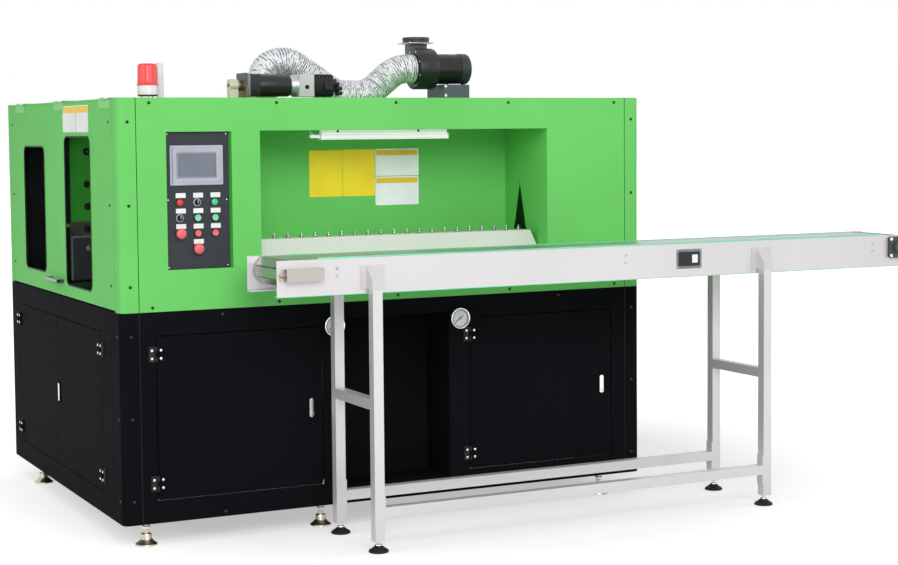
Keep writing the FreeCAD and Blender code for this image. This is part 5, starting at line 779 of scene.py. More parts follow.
class MACHINE_OT_panel(bpy.types.Operator):
    """Blank label plates, panel screws, bezels and lamps of the control panel"""
    bl_idname = "machine.panel"
    bl_label = "Panel labels and bezels"

    def execute(self, context):
        places = [(name, (x, PANEL_FACE, z)) for name, x, z in operator_rows()]
        label = bar((4.5, 0.0, 26.0), (38.0, 17.8, 1.0), FRONT, 2.0, 0.3)
        corners = [(419.0, 1515.0), (419.0, 1271.0), (419.0, 1027.0), (192.0, 1273.0), (192.0, 1025.0),
                   (192.0, 1515.0)]
        add_piece("panel_labels", [(repeated(label, [spot for _, spot in places]), "label_white"),
                                   (screws(3.2, [(x, PANEL_FACE, z) for x, z in corners]), "screw_steel")])
        section = [(0.6, 0.8), (0.6, PANEL_FACE - 0.2), (-7.0, PANEL_FACE - 0.2), (-1.4, 0.8)]
        fold = np.array([[(PANEL_RIGHT + x, y, z) for x, y in section] for z in PANEL_HEIGHTS])
        # the opening's fold is darker green: painted shade inside the opening
        add_piece("panel_opening_fold", [(closed_skin(fold), "shaded_green")])
        ring = sleeve([(11.7, 0.1), (11.7, 3.7), (12.3, 4.3), (13.4, 4.2), (14.8, 2.6), (14.8, 0.1)], ORIGIN,
                      FRONT, 24)
        lens = [(0, 11.0), (5.0, 10.7), (9.6, 9.4), (12.2, 7.4), (12.6, 4.6), (10.6, 4.4), (10.6, 1.0)]
        block = bar((0.0, 47.0, 0.0), (30.0, 30.0, 44.0), FRONT, 2.0, 0.8)
        selectors = [spot for name, spot in places if name in ("mode", "feed")]
        add_piece("operator_bezels", [
            (repeated(ring, selectors), "cast_aluminium"),
            (repeated(ring, [spot for _, spot in places if spot not in selectors]), "black_plastic"),
            (turned(lens, dict(places)["power_lamp"]), "red_plastic"),
            (turned(lens, dict(places)["run_lamp"]), "green_lens"),
            (repeated(block, [spot for _, spot in places]), "black_plastic")],
            replaces=["operator_bodies"])
        return {"FINISHED"}


class MACHINE_OT_operators(bpy.types.Operator):
    """Push buttons, mushroom heads and selector knobs, each on its own moving body"""
    bl_idname = "machine.operators"
    bl_label = "Buttons and knobs"

    def execute(self, context):
        stem = [(9.6, 0.0), (9.6, -40.0)]
        cap = [(0, 8.0), (8.6, 8.0), (9.6, 8.5), (11.4, 8.2), (12.2, 7.0), (12.2, 4.8), (10.1, 4.6),
               (10.1, -1.0)]
        mushroom = [(0, 24.0), (8.0, 23.6), (14.0, 21.6), (18.6, 17.6), (19.8, 13.6), (19.0, 11.4),
                    (12.0, 9.8), (9.9, 8.4), (9.9, -1.0)]
        knob = [(0, 3.0), (9.0, 3.0), (9.9, 2.3), (9.9, -1.0)]
        kinds = {"start": ("_button", cap, "mint_plastic"), "reset": ("_button", cap, "coral_plastic"),
                 "stop": ("_mushroom", mushroom, "coral_plastic")}
        for name, x, z in operator_rows():
            kind, _, letter = name.partition("_")
            if kind in kinds:
                word, profile, finish = kinds[kind]
                node, body = kind + word + "_" + letter, name
                sides = 28 if kind == "stop" else 24
                parts = [(turned(profile + stem, (x, BEZEL_FACE, z), FRONT, sides), finish)]
            elif kind in ("mode", "feed"):
                node, body = kind + "_selector", kind + "_knob"
                parts = [(turned(knob + stem, (x, BEZEL_FACE, z)), "black_plastic"),
                         (bar((x, BEZEL_FACE - 2.6, z), (7.6, 19.6, 9.2), FRONT, 3.0, 1.0), "black_plastic"),
                         (bar((x, BEZEL_FACE - 11.5, z + 4.0), (2.2, 9.0, 0.4), FRONT, 0.8, 0.1),
                          "label_white")]
            else:
                continue
            add_piece(node + "_cap", parts, body, replaces=[node])
        return {"FINISHED"}


class MACHINE_OT_terminal(bpy.types.Operator):
    """Stepped frame and screen of the touch terminal, with a dark line at the frame's left step that is
    painted shade
    """
    bl_idname = "machine.terminal"
    bl_label = "Touch terminal"

    def execute(self, context):
        low, high = cabinet_box("hmi_terminal")
        x, _, z = (low + high) / 2
        half_u, _, half_v = (high - low) / 2
        outline = [(0.0, 0.0, 3.0), (0.0, 6.0, 3.0), (1.6, 8.0, 2.6), (9.0, 8.0, 2.0), (9.6, 6.6, 2.0),
                   (12.0, 6.4, 2.0), (13.0, 7.4, 2.0), (22.0, 7.2, 2.0), (27.4, 5.0, 1.2)]
        rings = np.stack([level(rounded_loop(half_u - inset, half_v - inset, corner), height)
                          for inset, height, corner in outline])
        step = [(0.0, -1.6), (0.0, 0.3), (1.6, 0.3), (1.6, -1.6)]
        screen_size = (2 * half_u - 57.0, 2 * half_v - 61.0, 0.8)
        step_shade_size = (2.6, 2 * half_v - 8.0, 0.3)
        back_size = (2 * half_u - 16.0, 2 * half_v - 16.0, 37.9)
        add_piece("terminal_face", [
            (closed_skin(rings, (x, PANEL_FACE, z), FRONT), "grey_plastic"),
            (bar((x + 2.0, PANEL_FACE - 4.9, z), screen_size, FRONT, 1.0, 0.2), "screen"),
            # dark line at the frame's left step, in the pedestal's grey: painted shade
            (bar((x - half_u + 8.0, PANEL_FACE - 7.9, z), step_shade_size, FRONT, 0.4, 0.1), "pedestal_coat"),
            (trim((x, PANEL_FACE - 7.15, z), half_u - 27.6, half_v - 28.4, 1.5, step), "grey_dark"),
            (bar((x, PANEL_FACE + 38.0, z), back_size, FRONT, 2.0, 0.6), "black_plastic")],
            replaces=["hmi_terminal"])
        return {"FINISHED"}


# ---------------------------------------------------------------- lower cabinet
class MACHINE_OT_gauges(bpy.types.Operator):
    """Pressure gauges: turned rims, dials with marks, and needles"""
    bl_idname = "machine.gauges"
    bl_label = "Pressure gauges"

    def execute(self, context):
        r, deep = GAUGE_RADIUS, GAUGE_DEEP
        rim = [(r - 6.0, 3.0), (r - 6.0, deep - 2.0), (r - 4.6, deep - 0.4), (r - 2.2, deep),
               (r - 0.6, deep - 1.8), (r, deep - 5.0), (r - 0.4, deep - 8.0), (r - 2.4, deep - 9.2),
               (r - 2.4, 0.0), (r - 5.0, 0.0)]
        dial = [(0, deep - 7.0), (r - 5.6, deep - 7.0), (r - 5.6, 1.0)]
        band = [(r - 12.0, 1.0), (r - 12.0, deep - 6.9), (r - 6.1, deep - 6.9), (r - 6.1, 1.0)]
        boss = [(0, 2.6), (2.8, 2.4), (3.4, 1.4), (3.4, 0.0)]
        scale = np.radians(np.linspace(225.0, -45.0, context.scene.machine_sizes.dial_marks))
        parts = []
        for x, needle in zip(GAUGES_X, (1.16 * math.pi, 1.2 * math.pi)):
            origin = np.array((x, 0.0, GAUGE_HEIGHT))
            # strokes on the dial: angle, distance from the middle, height, size, rounding
            strokes = [(a, r - 8.0 - length / 2, deep - 6.95, (0.9, length, 0.3), 0.1, 0.05, 1)
                       for a, length in zip(scale, np.where(np.arange(len(scale)) % 5, 3.4, 6.5))]
            strokes.append((needle, 5.0, deep - 5.8, (2.4, 44.0, 0.6), 0.6, 0.15, 2))
            parts += [(sleeve(rim, origin, FRONT, 56), "chrome"),
                      (turned(dial, origin, FRONT, 56), "label_white"),
                      (turned(boss, (x, 7.0 - deep, GAUGE_HEIGHT), FRONT, 16), "dial_ink"),
                      (sleeve(band, origin, FRONT, 56), "grey_plastic")]
            for a, reach, height, size, corner, ease, steps in strokes:
                ahead = math.cos(a) * X + math.sin(a) * Z
                swing = np.array([math.sin(a) * X - math.cos(a) * Z, ahead, -Y])
                parts.append((bar(origin + reach * ahead - height * Y, size, swing, corner, ease, steps),
                              "dial_ink"))
        add_piece("pressure_dials", parts, replaces=["pressure_gauges"])
        return {"FINISHED"}


class MACHINE_OT_door_fittings(bpy.types.Operator):
    """Bright screws of the door hinges and key cylinders of the locks"""
    bl_idname = "machine.door_fittings"
    bl_label = "Hinge screws and lock cylinders"

    def execute(self, context):
        heights = [z + rise for z in HINGE_HEIGHTS for rise in (-HINGE_SCREW_RISE, HINGE_SCREW_RISE)]
        front = (("door_left", HINGE_PINS_X[0], 1), ("door_right", HINGE_PINS_X[1], 1))
        side = (("leaf_front", HINGE_PINS_Y[0], 1), ("leaf_rear", HINGE_PINS_Y[1], -1))
        for name, doors, basis, along, across in (("hinge_screws_fixed", front, FRONT, X, Y),
                                                  ("side_hinge_screws_fixed", side, LEFT, Y, X)):
            still, moving = ([[(pin + reach * way) * along + HINGE_FACE * across + z * Z for z in heights]
                              for _, pin, way in doors] for reach in (-HINGE_SCREW, HINGE_SCREW))
            add_piece(name, [(screws(5.4, sum(still, []), basis, 12), "screw_steel")])
            for (body, _, _), places in zip(doors, moving):
                head = (screws(5.4, places, basis, 12), "screw_steel")
                add_piece("hinge_screws_" + body, [head], body)
        cylinder = [(0, 1.2), (3.6, 1.2), (4.6, 0.9), (5.0, 0.0)]
        for node, body, basis in (("front_lock_left", "paddle_left", FRONT),
                                  ("front_lock_right", "paddle_right", FRONT),
                                  ("side_lock", "paddle_side", LEFT)):
            low, high = cabinet_box(node)
            outward = np.abs(basis[2])
            origin = np.where(outward, low, (low + high) / 2) + 0.2 * outward
            origin[2] = low[2] + 12.0
            add_piece(node + "_cylinder", [(turned(cylinder, origin, basis, 20), "screw_steel"),
                                           (bar(origin + basis[2], (1.2, 6.0, 0.5), basis, 0.4, 0.1, 1),
                                            "dial_ink")],
                      body)
        return {"FINISHED"}


# ---------------------------------------------------------------- feet
class MACHINE_OT_feet(bpy.types.Operator):
    """Turned levelling feet of the machine and of the conveyor stand"""
    bl_idname = "machine.feet"
    bl_label = "Levelling feet"

    def execute(self, context):
        top = cabinet_box("machine_feet")[1][2]
        bell = [(36.0, 0.0), (40.6, 1.0), (41.5, 3.4), (40.6, 6.4), (36.0, 10.0), (29.0, 15.0), (24.0, 21.0),
                (21.0, 24.0), (20.0, 26.0), (20.0, 41.0), (18.5, 43.4), (14.0, 44.0), (9.0, 44.2), (9.0, top)]
        nut = [(14.5, 60.0), (16.5, 61.5), (16.5, 71.0), (14.5, 72.5)]
        places = [(x, y, 0.0) for x, y in MACHINE_FEET]
        add_piece("machine_levelling_feet", [(repeated(turned(bell, ORIGIN, TOP, 32), places), "nickel"),
                                             (repeated(turned(nut, ORIGIN, TOP, 6), places), "screw_steel")],
                  replaces=["machine_feet"])
        low, high = cabinet_box("conveyor_feet")
        pad = [(33.0, 0.0), (36.2, 1.2), (37.0, 4.0), (36.0, 8.0), (29.0, 12.5), (21.0, 18.0), (16.5, 22.0),
               (14.0, 23.0)]
        ball = [(8.0, 21.0), (12.6, 23.0), (14.0, 26.0), (12.6, 29.0), (8.0, 31.0), (8.0, high[2])]
        inset = 37.0
        places = [(x, y, 0.0) for x in (low[0] + inset, high[0] - inset)
                  for y in (low[1] + inset, high[1] - inset)]
        add_piece("stand_levelling_feet", [(repeated(turned(pad, ORIGIN, TOP, 32), places), "rubber"),
                                           (repeated(turned(ball, ORIGIN, TOP, 24), places), "screw_steel")],
                  replaces=["conveyor_feet"])
        return {"FINISHED"}


# ---------------------------------------------------------------- roof
def fluted_ring(radius, height, flutes, depth, sides):
    """Ring whose radius dips along each flute: radius minus depth times the square of a half wave."""
    angle = circle(sides)
    r = radius - depth * np.cos(angle * flutes / 2) ** 2
    return level(np.column_stack([r * np.cos(angle), r * np.sin(angle)]), height)


class MACHINE_OT_beacon(bpy.types.Operator):
    """Fluted beacon lens, its base and the wiring conduit"""
    bl_idname = "machine.beacon"
    bl_label = "Beacon"

    def execute(self, context):
        low, high = cabinet_box("beacon_lens")
        foot, top, r = low[2], high[2], (high[0] - low[0]) / 2
        origin = (low + high) / 2 * (X + Y)
        profile = [(r, foot + 0.3, 0.0), (r, foot + 5.0, 0.0), (r - 2.0, foot + 8.0, 0.6),
                   (r - 2.6, foot + 12.0, 1.3), (r - 4.0, top - 10.0, 1.3), (r - 5.4, top - 4.0, 0.8),
                   (r - 8.4, top - 1.0, 0.0), (r - 12.0, top, 0.0)]
        rings = np.stack([fluted_ring(radius, height, 24, depth, 96) for radius, height, depth in profile])
        add_piece("beacon_fluted_lens", [(closed_skin(rings, origin), "lens_red")],
                  replaces=["beacon_lens"])
        base = [(33.0, ROOF + 9.0), (36.0, ROOF + 9.6), (37.4, ROOF + 11.0), (37.4, foot - 6.0),
                (36.0, foot - 3.4), (36.0, foot - 1.6), (37.6, foot - 0.6), (37.6, foot + 0.2)]
        gasket = [(35.0, ROOF + 5.0), (36.4, ROOF + 6.0), (36.4, ROOF + 8.4), (34.0, ROOF + 9.2)]
        studs = [origin + 24.0 * (math.cos(a) * X + math.sin(a) * Y) for a in circle(3) + 0.4]
        roof_at, tall = (corner[2] for corner in cabinet_box("beacon_base"))
        clip = bar((205.0, 112.2, (tall + ROOF) / 2), (3.4, tall - ROOF - 3.0, 0.9), FRONT, 0.6, 0.3)
        add_piece("beacon_socket", [
            (turned(base, origin, TOP, 48), "white_plastic"), (turned(gasket, origin, TOP, 48), "rubber"),
            (repeated(turned([(3.0, ROOF), (3.0, ROOF + 6.0)], ORIGIN, TOP, 10), studs), "screw_steel"),
            (bar((205.0, 123.0, roof_at), (21.6, 21.6, tall - roof_at), TOP, 1.6, 0.8), "white_plastic"),
            (repeated(clip, [-8.0 * X, 8.0 * X]), "white_plastic")],
            replaces=["beacon_base"])
        return {"FINISHED"}


def duct_line(step):
    """Even points and headings along the duct's axis: straight runs joined by arcs tangent to both."""
    route = np.array(DUCT_ROUTE)
    ways = np.diff(route, axis=0)
    lengths = np.linalg.norm(ways, axis=1)
    cuts = np.concatenate([[0.0], DUCT_TANGENTS, [0.0]])
    headings = np.unwrap(np.arctan2(ways[:, 1], ways[:, 0]))
    turns = np.diff(headings)
    arcs = np.array(DUCT_TANGENTS) / np.tan(np.abs(turns) / 2) * np.abs(turns)
    # straight runs and arcs by turns; the heading holds along a run and changes evenly along an arc
    runs = np.empty(len(lengths) + len(arcs))
    runs[0::2], runs[1::2] = lengths - cuts[:-1] - cuts[1:], arcs
    distance = np.concatenate([[0.0], np.cumsum(runs)])
    count = int(round(distance[-1] / step)) + 1
    s = np.linspace(0.0, distance[-1], count)
    a = np.interp(s, distance, np.repeat(headings, 2))
    middle = (a[1:] + a[:-1]) / 2
    moves = np.column_stack([np.cos(middle), np.sin(middle)]) * s[1]
    return np.concatenate([[[0.0, 0.0]], np.cumsum(moves, axis=0)]) + route[0], a, s


def eased_noise(rows, cols, seed, u, v):
    """Seeded random lattice from -1 to 1, eased between its points both ways.

    The ease is three t squared minus two t cubed, and the lattice repeats both ways.
    """
    grid = np.random.default_rng(seed).uniform(-1.0, 1.0, (rows, cols))
    i, j = np.floor(u).astype(int), np.floor(v).astype(int)
    a, b = u - i, v - j
    a, b = a * a * (3 - 2 * a), b * b * (3 - 2 * b)
    i, i2, j, j2 = i % rows, (i + 1) % rows, j % cols, (j + 1) % cols
    return (grid[i, j] * (1 - a) + grid[i2, j] * a) * (1 - b) + (grid[i, j2] * (1 - a) + grid[i2, j2] * a) * b


class MACHINE_OT_duct(bpy.types.Operator):
    """Crinkled foil duct: ribs along its line, dented at random, with painted shade in the grooves between
    ribs
    """
    bl_idname = "machine.duct"
    bl_label = "Aluminium duct"

    def execute(self, context):
        sizes = context.scene.machine_sizes
        pitch, depth = sizes.foil_pitch / MM, sizes.foil_depth / MM
        around = 72
        line, heading, s = duct_line(pitch / 5)
        s = s[:, None]
        angle = circle(around)
        turn = angle[None] / (2 * math.pi)
        # the ribs wander by up to 0.12 of a pitch; the lattices are 30 mm, half a rib and 34 mm long
        rib = np.abs((s / pitch + 0.12 * eased_noise(60, 9, 3, s / 30, turn * 9)) % 1.0 * 2 - 1)
        dents = eased_noise(400, 22, 5, s / (pitch / 2), turn * 22)
        sags = eased_noise(90, 8, 8, s / 34, turn * 8)
        root = 57.3
        radius = root + depth * rib ** 0.8 + 0.75 * dents * rib + 0.45 * sags
        out = radius * np.cos(angle)
        points = np.stack([line[:, 0:1] - out * np.sin(heading)[:, None], BLOWER_Y + radius * np.sin(angle),
                           line[:, 1:2] + out * np.cos(heading)[:, None]], axis=-1)
        skin, quads = closed_skin(points)
        # quads in the grooves between ribs get the darker foil: painted shade
        inside = ((rib < 0.22) & (dents > -0.2)).ravel()
        end = np.zeros(around, bool)
        groove = np.concatenate([end, inside, end])[quads].sum(axis=1) >= 2
        parts = [((skin, quads[~groove]), "foil"), ((skin, quads[groove]), "foil_groove")]
        add_piece("crinkled_air_duct", parts, replaces=["aluminium_duct"], crease=50.0)
        return {"FINISHED"}


class MACHINE_OT_blower(bpy.types.Operator):
    """Blower scroll with its neck, flange and cap, the motor with its fan cover, and the folded pedestal"""
    bl_idname = "machine.blower"
    bl_label = "Blower"

    def execute(self, context):
        inlet_x, neck_x, motor_x, neck_y = 1478.0, 1522.0, 1566.4, 679.5
        axis = np.array((inlet_x, BLOWER_Y, BLOWER_Z))
        r = 87.3
        scroll = [(63.4, 12.0), (63.4, 0.4), (72.0, 0.0), (r - 4.0, 0.0), (r - 1.0, 1.0), (r, 3.4), (r, 84.0),
                  (r - 1.0, 87.0), (r - 4.0, 88.0), (70.0, 88.4)]
        lip = [(63.0, -2.0), (66.0, -2.6), (69.0, -2.0), (69.0, 1.5), (63.0, 1.5)]
        ring_screws = [axis + 76.0 * (math.cos(a) * Y + math.sin(a) * Z) for a in circle(8) + 0.39]
        cap = [(58.4, 1896.2), (58.4, 1900.0), (57.2, 1901.2), (57.2, 1908.0), (58.4, 1909.4), (58.4, 1916.5),
               (56.6, 1919.4), (50.0, 1919.9), (48.0, 1918.6)]
        add_piece("blower_casing", [
            (turned(scroll, axis, RIGHT, 72), "charcoal_coat"), (sleeve(lip, axis, RIGHT, 56), "motor_black"),
            (screws(4.0, ring_screws, LEFT), "screw_steel"),
            (bar((neck_x, neck_y, BLOWER_Z + 20.0), (80.0, 56.0, 87.0), TOP, 2.0, 0.6), "pedestal_coat"),
            (bar((neck_x, neck_y, 1892.0), (118.0, 118.0, 4.0), TOP, 3.0, 0.5), "cast_aluminium"),
            (turned(cap, (neck_x, neck_y, 0.0), TOP, 64), "cap_coat"),
            (screws(5.5, rectangle((neck_x, neck_y, 1896.0), 50.0, 50.0, TOP), TOP), "screw_steel")],
            replaces=["blower_scroll"])
        barrel = [(60.0, 0.0), (64.0, 0.4), (64.4, 2.0), (64.4, 62.0), (63.2, 63.0), (63.2, 66.0),
                  (64.4, 67.0), (64.4, 119.0), (62.0, 120.0)]
        cover = [(62.0, 119.0), (66.0, 119.4), (66.4, 121.0), (66.4, 156.0), (65.0, 161.0), (60.0, 164.6),
                 (52.0, 165.5)]
        slots = [(motor_x + 165.3, BLOWER_Y + 12.0 * row, BLOWER_Z) for row in range(-3, 4)]
        # folded pedestal: two cheeks, shelf, foot and end plate
        foot, shelf = 1607.2, 1715.0
        x, y, length, width = 1655.0, 638.0, 122.0, 160.0
        height, middle = shelf - foot, (foot + shelf) / 2
        plates = [((x, cheek_y, middle), (length, height, 3.0), FRONT) for cheek_y in (559.0, 720.0)]
        plates += [((x, y, plate_z), (length, width, 3.0), TOP) for plate_z in (shelf - 3.0, foot)]
        plates.append(((x - length / 2, y, middle), (width, height, 3.0), RIGHT))
        add_piece("blower_motor_dress", [
            (turned(barrel, (motor_x, BLOWER_Y, BLOWER_Z), RIGHT, 64), "motor_black"),
            (turned(cover, (motor_x, BLOWER_Y, BLOWER_Z), RIGHT, 64), "cap_coat"),
            (repeated(bar(ORIGIN, (4.0, 84.0, 0.6), RIGHT, 1.8, 0.2, 2), slots), "rubber"),
            (screws(6.5, [(1603.0, 556.0, z) for z in (1708.0, 1669.0)], FRONT, 14), "label_white"),
            *((bar(*plate, 2.0, 0.4), "pedestal_coat") for plate in plates),
            (bar((x, BLOWER_Y, shelf), (60.0, 92.0, 4.0), TOP, 1.0, 0.4), "screw_steel")],
            replaces=["blower_motor"])
        return {"FINISHED"}


class MACHINE_OT_drive(bpy.types.Operator):
    """Gearmotor in one line: square flange, barrel, taper, adaptor block, finned motor and its plugs"""
    bl_idname = "machine.drive"
    bl_label = "Gearmotor"

    def execute(self, context):
        flange_x, box_x, barrel_x, taper_x = 649.0, 665.0, 706.0, 842.0
        block_x, motor_x, end_x = 872.0, 936.0, 1022.0
        axis = np.array((0.0, DRIVE_Y, DRIVE_Z))
        hub = [(30.0, -0.3), (30.0, 3.0), (26.0, 6.0), (20.0, 6.4), (18.0, 4.0)]
        barrel = [(40.0, 0.0), (44.0, 0.6), (44.6, 3.0), (44.6, 128.0), (43.4, 133.0), (41.0, 135.6),
                  (38.0, 136.2)]
        taper = [(38.0, 0.0), (39.0, 1.0), (41.0, 12.0), (44.4, 24.0), (44.8, 30.2)]
        nut = [(3.0, 0.0), (5.6, 0.4), (5.6, 4.0), (4.6, 5.0)]
        stopper = [(8.6, 0.0), (8.6, 1.4), (7.0, 2.0)]
        plug = [(9.0, 0.0), (11.0, 1.0), (11.0, 14.0), (8.4, 17.0), (8.4, 26.0), (6.0, 28.0)]
        # square lengths along the axis: where they start, size, corner, ease
        blocks = [(flange_x, (90.0, 90.0, 16.0), 6.0, 1.2, "flange_grey"),
                  (box_x, (89.0, 89.0, barrel_x - box_x + 1.0), 5.0, 1.0, "motor_black"),
                  (block_x, (90.0, 90.0, motor_x - block_x), 2.0, 0.8, "block_grey"),
                  (motor_x, (82.0, 82.0, end_x - motor_x), 8.0, 1.5, "motor_black"),
                  (end_x, (54.0, 56.0, 22.0), 10.0, 4.0, "black_plastic")]
        blocks += [(motor_x + 3.0 + 9.0 * k, (90.0, 90.0, 4.0), 8.0, 0.8, "motor_black") for k in range(9)]
        parts = [(bar(axis + x * X, size, RIGHT, *rounding), finish) for x, size, *rounding, finish in blocks]
        parts += [
            (repeated(turned(nut, ORIGIN, LEFT, 6), rectangle(axis + flange_x * X, 34.0, 34.0, RIGHT)),
             "rubber"),
            (turned(hub, axis + flange_x * X, LEFT, 32), "flange_grey"),
            (turned(barrel, axis + barrel_x * X, RIGHT, 48), "charcoal_coat"),
            (turned(taper, axis + taper_x * X, RIGHT, 48), "cast_aluminium"),
            (turned(stopper, (block_x + 33.0, DRIVE_Y - 45.0, DRIVE_Z - 6.0)), "rubber"),
            (bar((end_x - 26.0, DRIVE_Y - 41.0, DRIVE_Z - 2.0), (38.0, 34.0, 18.0), FRONT, 4.0, 2.0),
             "black_plastic"),
            (repeated(turned(plug, ORIGIN, RIGHT, 16), [(end_x, DRIVE_Y - 30.0, DRIVE_Z + 7.0),
                                                        (end_x + 14.0, DRIVE_Y - 26.0, DRIVE_Z - 11.0),
                                                        (end_x + 18.0, DRIVE_Y - 18.0, DRIVE_Z - 30.0)]),
             "black_plastic")]
        add_piece("gearmotor_dress", parts, replaces=["servo_gearmotor"])
        bush = [(12.2, 0.0), (21.0, 0.6), (22.0, 2.0), (22.0, 15.6), (20.6, 17.6), (12.2, 18.0)]
        cover = [(0, 1.6), (6.0, 1.4), (7.4, 0.6), (7.6, 0.0)]
        add_piece("lever_bush", [(sleeve(bush, axis + 622.4 * X, RIGHT, 32), "brass"),
                                 (turned(cover, axis + 588.0 * X, LEFT), "rubber")], "lever")
        return {"FINISHED"}


# ---------------------------------------------------------------- conveyor
class MACHINE_OT_conveyor(bpy.types.Operator):
    """Bolts, take-up nut, bare rating plate, bearing screws and wear strip's lip of the conveyor"""
    bl_idname = "machine.conveyor"
    bl_label = "Conveyor fittings"

    def execute(self, context):
        face = CONVEYOR_FACE
        plate_x, plate_z = 2165.0, 1008.0
        pairs = [(x, face, z) for x in (664.0, 1872.0, 3078.0) for z in (1033.0, 1006.0)]
        hats = [(x + u, face, z) for x in (801.0, 2512.0) for u in (-33.0, 33.0) for z in (975.0, 1022.0)]
        bearing = rectangle((3204.0, face - 14.0, 1016.5), 34.0, 34.0)
        rivets = rectangle((plate_x, face - 1.0, plate_z), 53.0, 32.0)
        nut = [(0, 9.0), (4.0, 9.0), (6.0, 7.0), (7.4, 6.4), (7.4, 0.0)]
        start = cabinet_box("conveyor_frame")[0][0]
        lip_start, lip_end = start + 157.0, start + 2695.0
        rail_top = cabinet_box("wear_strips")[1][2]
        lip_at = ((lip_start + lip_end) / 2, face + 7.0, rail_top)
        lip = bar(lip_at, (lip_end - lip_start, 13.6, 6.0), TOP, 1.0, 0.5)
        add_piece("conveyor_fittings", [
            (screws(5.6, pairs, FRONT, 12), "machined_steel"), (screws(4.6, hats, FRONT, 12), "screw_steel"),
            (screws(7.6, bearing, FRONT, 12), "screw_steel"), (screws(2.2, rivets, FRONT, 8), "screw_steel"),
            (bar((plate_x, face, plate_z), (118.0, 76.0, 1.2), FRONT, 5.0, 0.3), "flange_grey"),
            (bar((plate_x, face - 1.0, plate_z), (100.0, 56.0, 0.6), FRONT, 2.0, 0.2), "black_plastic"),
            (bar((plate_x + 27.0, face - 1.4, plate_z), (26.0, 32.0, 0.4), FRONT, 1.0, 0.1), "label_white"),
            (lip, "mint_plastic"), (turned(nut, (start + 19.0, face - 8.0, 1003.0), LEFT, 6), "brass")])
        return {"FINISHED"}


# ---------------------------------------------------------------- stage
def camera_matrix(eye, yaw, pitch, roll):
    """Looks along yaw from +Y towards +X, tilted down by pitch, rolled about its own axis."""
    ahead = Vector((math.sin(yaw) * math.cos(pitch), math.cos(yaw) * math.cos(pitch), -math.sin(pitch)))
    right = ahead.cross(Vector((0, 0, 1))).normalized()
    up = right.cross(ahead)
    turned_right = right * math.cos(roll) + up * math.sin(roll)
    turned_up = up * math.cos(roll) - right * math.sin(roll)
    rotation = Matrix((turned_right, turned_up, -ahead)).transposed()
    return Matrix.Translation(Vector(eye)) @ rotation.to_4x4()


def shown_directly(node):
    """One for rays that show a thing itself, to the camera, in gloss or through glass, else nought."""
    rays = node("ShaderNodeLightPath", {})
    seen = node(MATHS, {0: rays.outputs["Is Camera Ray"], 1: rays.outputs["Is Glossy Ray"]}, 0,
                operation="MAXIMUM")
    return node(MATHS, {0: seen, 1: rays.outputs["Is Transmission Ray"]}, 0, operation="MAXIMUM")


def stage_floor(reach=60.0):
    """Pale floor: a soft shadow near the object, plain white towards the horizon."""
    mesh = bpy.data.meshes.new("studio_floor")
    corners = [(-reach, -reach, 0), (reach, -reach, 0), (reach, reach, 0), (-reach, reach, 0)]
    mesh.from_pydata(corners, [], [(0, 1, 2, 3)])
    floor = bpy.data.objects.new("studio_floor", mesh)
    bpy.context.scene.collection.objects.link(floor)
    material = bpy.data.materials.new("studio_floor_paint")
    node = emptied(material)
    away = node("ShaderNodeVectorMath", {0: node(COORDINATES, {}, "Object")}, "Value", operation="LENGTH")
    far = node(RANGE, {"Value": away, "From Min": 1.3, "From Max": 3.2, "To Min": 0.48, "To Max": 1.0},
               "Result")
    paint = node("ShaderNodeBsdfDiffuse", {"Color": (0.62, 0.62, 0.62, 1)}, 0)
    glow = node("ShaderNodeEmission", {"Color": (1, 1, 1, 1), "Strength": far}, 0)
    seen = node("ShaderNodeAddShader", {0: paint, 1: glow}, 0)
    plain = node("ShaderNodeBsdfDiffuse", {"Color": (0.7, 0.7, 0.7, 1)}, 0)
    mixed = node("ShaderNodeMixShader", {0: shown_directly(node), 1: plain, 2: seen}, 0)
    node("ShaderNodeOutputMaterial", {"Surface": mixed})
    mesh.materials.append(material)


def soft_light(name, eye, aim_height, size, power):
    """Rectangular light that looks at a height above the floor's middle; sizes in metres, power in watts."""
    data = bpy.data.lights.new(name, "AREA")
    data.shape = "RECTANGLE"
    data.size, data.size_y = size
    data.energy = power
    lamp = bpy.data.objects.new(name, data)
    lamp.location = eye
    lamp.rotation_euler = (Vector((0, 0, aim_height)) - Vector(eye)).to_track_quat("-Z", "Y").to_euler()
    bpy.context.scene.collection.objects.link(lamp)


def white_world(level_of_light):
    """World that lights at a plain level and shows as white to the camera, to gloss and through glass."""
    world = bpy.data.worlds.new("studio_world")
    bpy.context.scene.world = world
    node = emptied(world)
    strength = node(RANGE, {"Value": shown_directly(node), "To Min": level_of_light, "To Max": 1.0}, "Result")
    backing = node("ShaderNodeBackground", {"Color": (1, 1, 1, 1), "Strength": strength}, 0)
    node("ShaderNodeOutputWorld", {"Surface": backing})


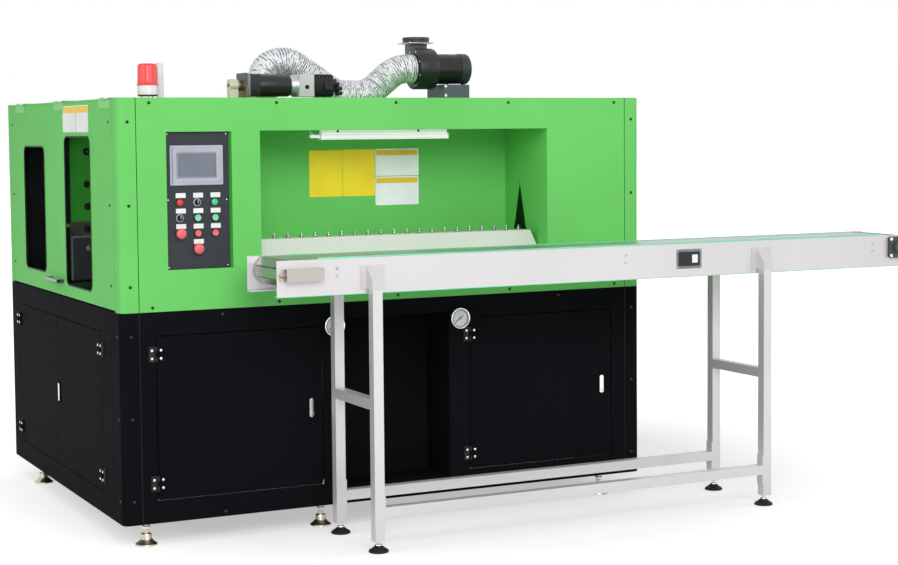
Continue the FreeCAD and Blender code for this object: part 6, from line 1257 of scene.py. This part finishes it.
class MACHINE_OT_stage(bpy.types.Operator):
    """Camera at the photograph's angle, pale floor and soft light"""
    bl_idname = "machine.stage"
    bl_label = "Stage"

    def execute(self, context):
        data = bpy.data.cameras.new("photo_camera")
        data.sensor_width = 36.0
        data.lens = 71.66
        data.shift_y = -0.0429
        data.clip_end = 200.0
        camera = bpy.data.objects.new("photo_camera", data)
        eye = stand((-1814.07, -6296.55, 1518.35))
        camera.matrix_world = camera_matrix(eye, *np.radians((26.562, 3.624, -0.484)))
        context.scene.collection.objects.link(camera)
        context.scene.camera = camera
        stage_floor()
        soft_light("front_panel_light", (-1.8, -6.4, 3.9), 0.9, (5, 3), 218)
        soft_light("side_panel_light", (-6.5, -1.5, 3.5), 1.0, (4, 3), 70)
        soft_light("right_panel_light", (6.0, -3.5, 4.0), 1.0, (4, 3), 55)
        white_world(0.5)
        context.scene.view_settings.view_transform = "Standard"
        return {"FINISHED"}


OPERATORS = (
    MACHINE_OT_finishes, MACHINE_OT_sheet_screws, MACHINE_OT_windows, MACHINE_OT_interior, MACHINE_OT_recess,
    MACHINE_OT_spindles, MACHINE_OT_panel, MACHINE_OT_operators, MACHINE_OT_terminal, MACHINE_OT_gauges,
    MACHINE_OT_door_fittings, MACHINE_OT_feet, MACHINE_OT_beacon, MACHINE_OT_duct, MACHINE_OT_blower,
    MACHINE_OT_drive, MACHINE_OT_conveyor, MACHINE_OT_stage)


class MACHINE_PT_panel(bpy.types.Panel):
    """Colours, sizes and one button for each group of pieces"""
    bl_idname = "MACHINE_PT_panel"
    bl_label = "Blow moulding machine"
    bl_space_type = "VIEW_3D"
    bl_region_type = "UI"
    bl_category = "Machine"

    def draw(self, context):
        for group in (context.scene.machine_colours, context.scene.machine_sizes):
            for name in type(group).__annotations__:
                self.layout.prop(group, name)
        for cls in OPERATORS:
            self.layout.operator(cls.bl_idname)


CLASSES = (MachineColours, MachineSizes) + OPERATORS + (MACHINE_PT_panel,)


def register():
    for cls in CLASSES:
        bpy.utils.register_class(cls)
    bpy.types.Scene.machine_colours = PointerProperty(type=MachineColours)
    bpy.types.Scene.machine_sizes = PointerProperty(type=MachineSizes)


def unregister():
    del bpy.types.Scene.machine_sizes
    del bpy.types.Scene.machine_colours
    for cls in reversed(CLASSES):
        bpy.utils.unregister_class(cls)


def main():
    register()
    for cls in OPERATORS:
        group, action = cls.bl_idname.split(".")
        getattr(getattr(bpy.ops, group), action)()


if __name__ == "__main__":
    main()
